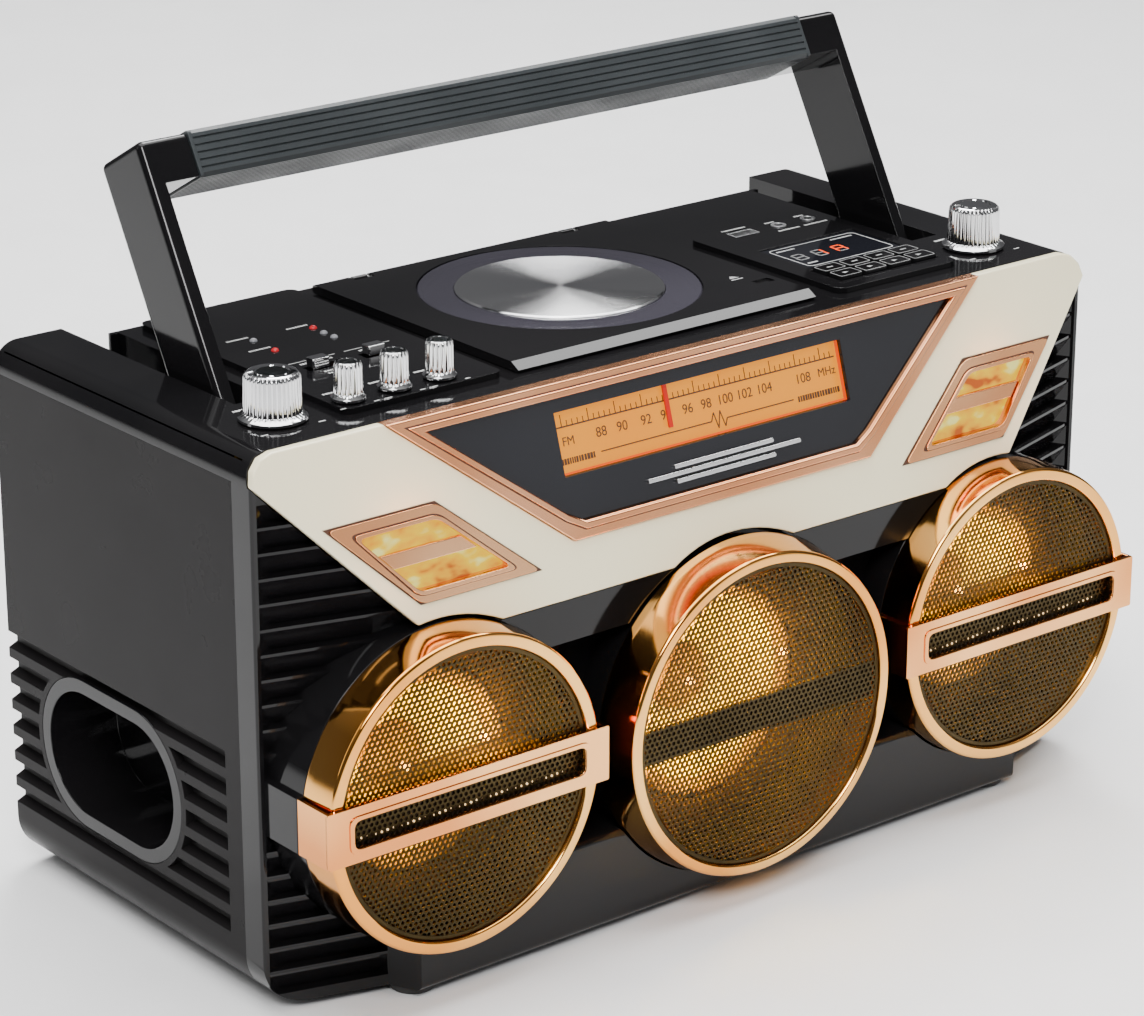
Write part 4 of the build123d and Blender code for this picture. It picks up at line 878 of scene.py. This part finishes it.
def flat_print(outline, z):
    """Printed patch on a level surface at height z."""
    return prism(outline, lambda x, y: at(x, y, z + PRINT_UP), lambda x, y: at(x, y, z - PRINT_DOWN))


def flat_outline(outer, inner, z, up=PRINT_UP):
    """Printed outline on a level surface at height z."""
    return ring_prism(outer, inner, lambda x, y: at(x, y, z + up), lambda x, y: at(x, y, z - PRINT_DOWN))


for number in range(1, 9):
    row, column = divmod(number - 1, 4)
    x, y = 105.5 + 14.0 * column, 28.4 + 9.8 * row
    refined(f"key_{number}", DECK_BLACK, 0.5, 3)
    outer = rounded(rectangle(x, y, 5.9, 3.8), 1.3, 4)
    inner = rounded(rectangle(x, y, 5.68, 3.58), 1.1, 4)
    sign = rectangle(x, y, 1.6, 0.4)
    if row == 0:
        sign = [(x - 1.4, y - 1.0), (x + 1.4, y), (x - 1.4, y + 1.0)]
    mark = [flat_outline(outer, inner, KEY_TOP), flat_print(sign, KEY_TOP)]
    piece(f"key_mark_{number}", joined(mark), PRINT_GREY, f"button_{number}")

refined("display_module", WINDOW_BLACK, 0.3)
DISPLAY_TOP = PLATE_Z - 0.4
DIGIT_UP = 0.05
DIGIT_Y = 61
# centre and size of each segment of a digit
SEGMENTS = {
    "a": (0, 3.6, 4.4, 0.8),
    "g": (0, 0, 4.4, 0.8),
    "d": (0, -3.6, 4.4, 0.8),
    "b": (2.5, 1.8, 0.8, 3.0),
    "c": (2.5, -1.8, 0.8, 3.0),
    "f": (-2.5, 1.8, 0.8, 3.0),
    "e": (-2.5, -1.8, 0.8, 3.0),
}
lit, dim = [], []
for x, on in ((109.5, ""), (120.5, "bc"), (132.0, "abcefg")):
    for key, (dx, dy, w, d) in SEGMENTS.items():
        centre = x + dx + dy * 0.12
        bar = slab(
            centre - w / 2, centre + w / 2, DIGIT_Y + dy - d / 2, DIGIT_Y + dy + d / 2,
            DISPLAY_TOP - PRINT_DOWN, DISPLAY_TOP + DIGIT_UP,
        )
        (lit if key in on else dim).append(bar)
piece("display_digits", joined(lit), DIGIT, "casing")
piece("display_segments", joined(dim), PRINT_DIM, "casing")


def flat_line(x0, x1, y0, y1, z):
    return slab(x0, x1, y0, y1, z - PRINT_DOWN, z + PRINT_UP)


def flat_label(x0, x1, y0, y1, z):
    """Row of short dashes that stands for a printed word."""
    dashes = []
    x = x0
    while x < x1 - 0.4:
        width = random.uniform(0.55, 1.15)
        dashes.append(flat_line(x, min(x + width, x1), y0, y1, z))
        x += width + random.uniform(0.3, 0.5)
    return joined(dashes)


marks = []
outer = rounded([(103.5, 48), (152.5, 48), (152.5, 75.5), (103.5, 75.5)], 3.0, 5)
inner = rounded([(103.9, 48.4), (152.1, 48.4), (152.1, 75.1), (103.9, 75.1)], 2.7, 5)
marks.append(flat_outline(outer, inner, DISPLAY_TOP, DIGIT_UP))
for x0, x1, y in ((106, 116, 71.5), (137, 149, 71.5), (106, 112, 51.5)):
    marks.append(flat_label(x0, x1, y, y + 1.1, DISPLAY_TOP))
for x0, x1, y, tall in (
    (128, 140, 94.5, 1.3), (143, 156, 94.5, 1.3),
    (108, 121, 109.0, 1.2), (131, 137, 107.2, 1.2), (148, 154, 107.2, 1.2),
):
    marks.append(flat_label(x0, x1, y, y + tall, PLATE_Z))
for x, half_width in ((-133.0, 7.5), (-106.5, 6.0)):
    marks.append(flat_label(x - half_width, x + half_width, 71.5, 73.0, PLATE_Z))
    marks.append(flat_line(x - 11, x + 11, 75.2, 75.5, PLATE_Z))
for x, y in ((-141.5, 113.2), (-141.5, 97.6), (-113.5, 112.2)):
    marks.append(flat_label(x - 5, x + 5, y, y + 1.3, PLATE_Z))
for y, w in ((59.0, 5), (56.3, 5), (53.6, 4)):
    marks.append(flat_label(-133 - w, -133 + w, y, y + 1.1, PLATE_Z))
for x in TONE_X:
    marks.append(flat_label(x - 4.2, x + 4.2, 36.2, 37.5, PLATE_Z))
    marks.append(flat_line(x + 6.6, x + 9.0, 18.2, 18.8, PLATE_Z))
    marks.append(flat_line(x - 9.0, x - 6.6, 18.2, 18.8, PLATE_Z))
for x in (-182.0, 182.0):
    marks.append(flat_label(x - 7, x + 7, 46.5, 48.0, DECK_Z))
    marks.append(flat_line(x + 11.5, x + 14.5, 17.5, 18.1, DECK_Z))
    marks.append(flat_line(x - 14.5, x - 11.5, 17.5, 18.1, DECK_Z))
piece("deck_marks", joined(marks), PRINT_WHITE, "casing")
LID_Z = 230.0
eject = [flat_line(60, 66, 48, 48.9, LID_Z), flat_print([(60.5, 50.2), (65.5, 50.2), (63, 53.2)], LID_Z)]
piece("lid_marks", joined(eject), PRINT_GREY, "lid")

DOME = [
    (0, 221.0), (1.6, 221.0), (1.6, PLATE_Z - 0.1), (1.4, PLATE_Z + 0.5), (0.8, PLATE_Z + 0.95),
    (0, PLATE_Z + 1.1),
]
red_domes = [lathe_z(x, y, DOME, 24) for x, y in ((-137.5, 93.5), (-109.0, 108.0))]
clear_domes = [lathe_z(x, y, DOME, 24) for x, y in ((-137.0, 109.0), (-109.5, 100.0), (-109.5, 93.0))]
piece("lamps_red", joined(red_domes), LAMP_RED, "casing", ("panel_leds",), 60)
piece("lamps_clear", joined(clear_domes), LAMP_CLEAR, "casing", ("panel_leds",), 60)

# ---------------------------------------------------------------- camera, light and floor, in metres
camera_data = bpy.data.cameras.new("view")
camera_data.sensor_width = 36.0
camera_data.lens = 121.2
camera_data.clip_start = 0.05
camera = bpy.data.objects.new("view", camera_data)
camera.location = (-0.950, -1.1611, 0.6876)
camera.rotation_euler = (math.radians(69.9), 0.0, math.radians(-39.01))
bpy.context.scene.collection.objects.link(camera)
bpy.context.scene.camera = camera


def area_light(name, place, target, size, power):
    """Soft box in metres and watts, turned towards the target."""
    data = bpy.data.lights.new(name, "AREA")
    data.shape = "RECTANGLE"
    data.size, data.size_y = size
    data.energy = power
    lamp = bpy.data.objects.new(name, data)
    lamp.location = place
    direction = Vector(target) - Vector(place)
    lamp.rotation_euler = direction.to_track_quat("-Z", "Y").to_euler()
    bpy.context.scene.collection.objects.link(lamp)


area_light("key_light", (-1.3, -1.6, 1.9), (0, 0, 0.12), (0.9, 0.9), 62)
area_light("low_front_light", (1.75, -2.35, 0.62), (0, 0, 0.15), (1.7, 1.1), 5.5)
area_light("side_light", (-2.0, 0.9, 1.1), (0, 0, 0.12), (0.5, 1.3), 5)
area_light("right_high_light", (1.25, 0.1, 1.85), (0, -0.05, 0.23), (0.6, 0.6), 13)
area_light("rear_high_light", (0.95, 1.2, 1.9), (0, 0.02, 0.23), (0.7, 0.7), 26)
area_light("overhead_light", (0.0, 0.3, 2.6), (0, 0, 0), (2.6, 2.6), 125)

world = bpy.data.worlds.new("studio")
world.use_nodes = True
bpy.context.scene.world = world
sky = world.node_tree
sky_coords = sky.nodes.new("ShaderNodeTexCoord")
sky_split = sky.nodes.new("ShaderNodeSeparateXYZ")
sky.links.new(sky_coords.outputs["Generated"], sky_split.inputs["Vector"])
sky_ramp = sky.nodes.new("ShaderNodeValToRGB")
sky_ramp.color_ramp.elements[0].position = 0.42
sky_ramp.color_ramp.elements[0].color = (0.22, 0.22, 0.23, 1)
sky_ramp.color_ramp.elements[1].position = 0.95
sky_ramp.color_ramp.elements[1].color = (0.9, 0.9, 0.9, 1)
sky.links.new(sky_split.outputs["Z"], sky_ramp.inputs["Fac"])
sky.links.new(sky_ramp.outputs["Color"], sky.nodes["Background"].inputs["Color"])
sky.nodes["Background"].inputs["Strength"].default_value = 0.5

bm = bmesh.new()
bmesh.ops.create_grid(bm, x_segments=1, y_segments=1, size=9.0)
floor_mesh = bpy.data.meshes.new("floor")
bm.to_mesh(floor_mesh)
bm.free()
floor = bpy.data.objects.new("floor", floor_mesh)
bpy.context.scene.collection.objects.link(floor)
floor_mesh.materials.append(plastic("pale_floor", (0.93, 0.93, 0.93), (0.96, 0.96, 0.96), 0.6))
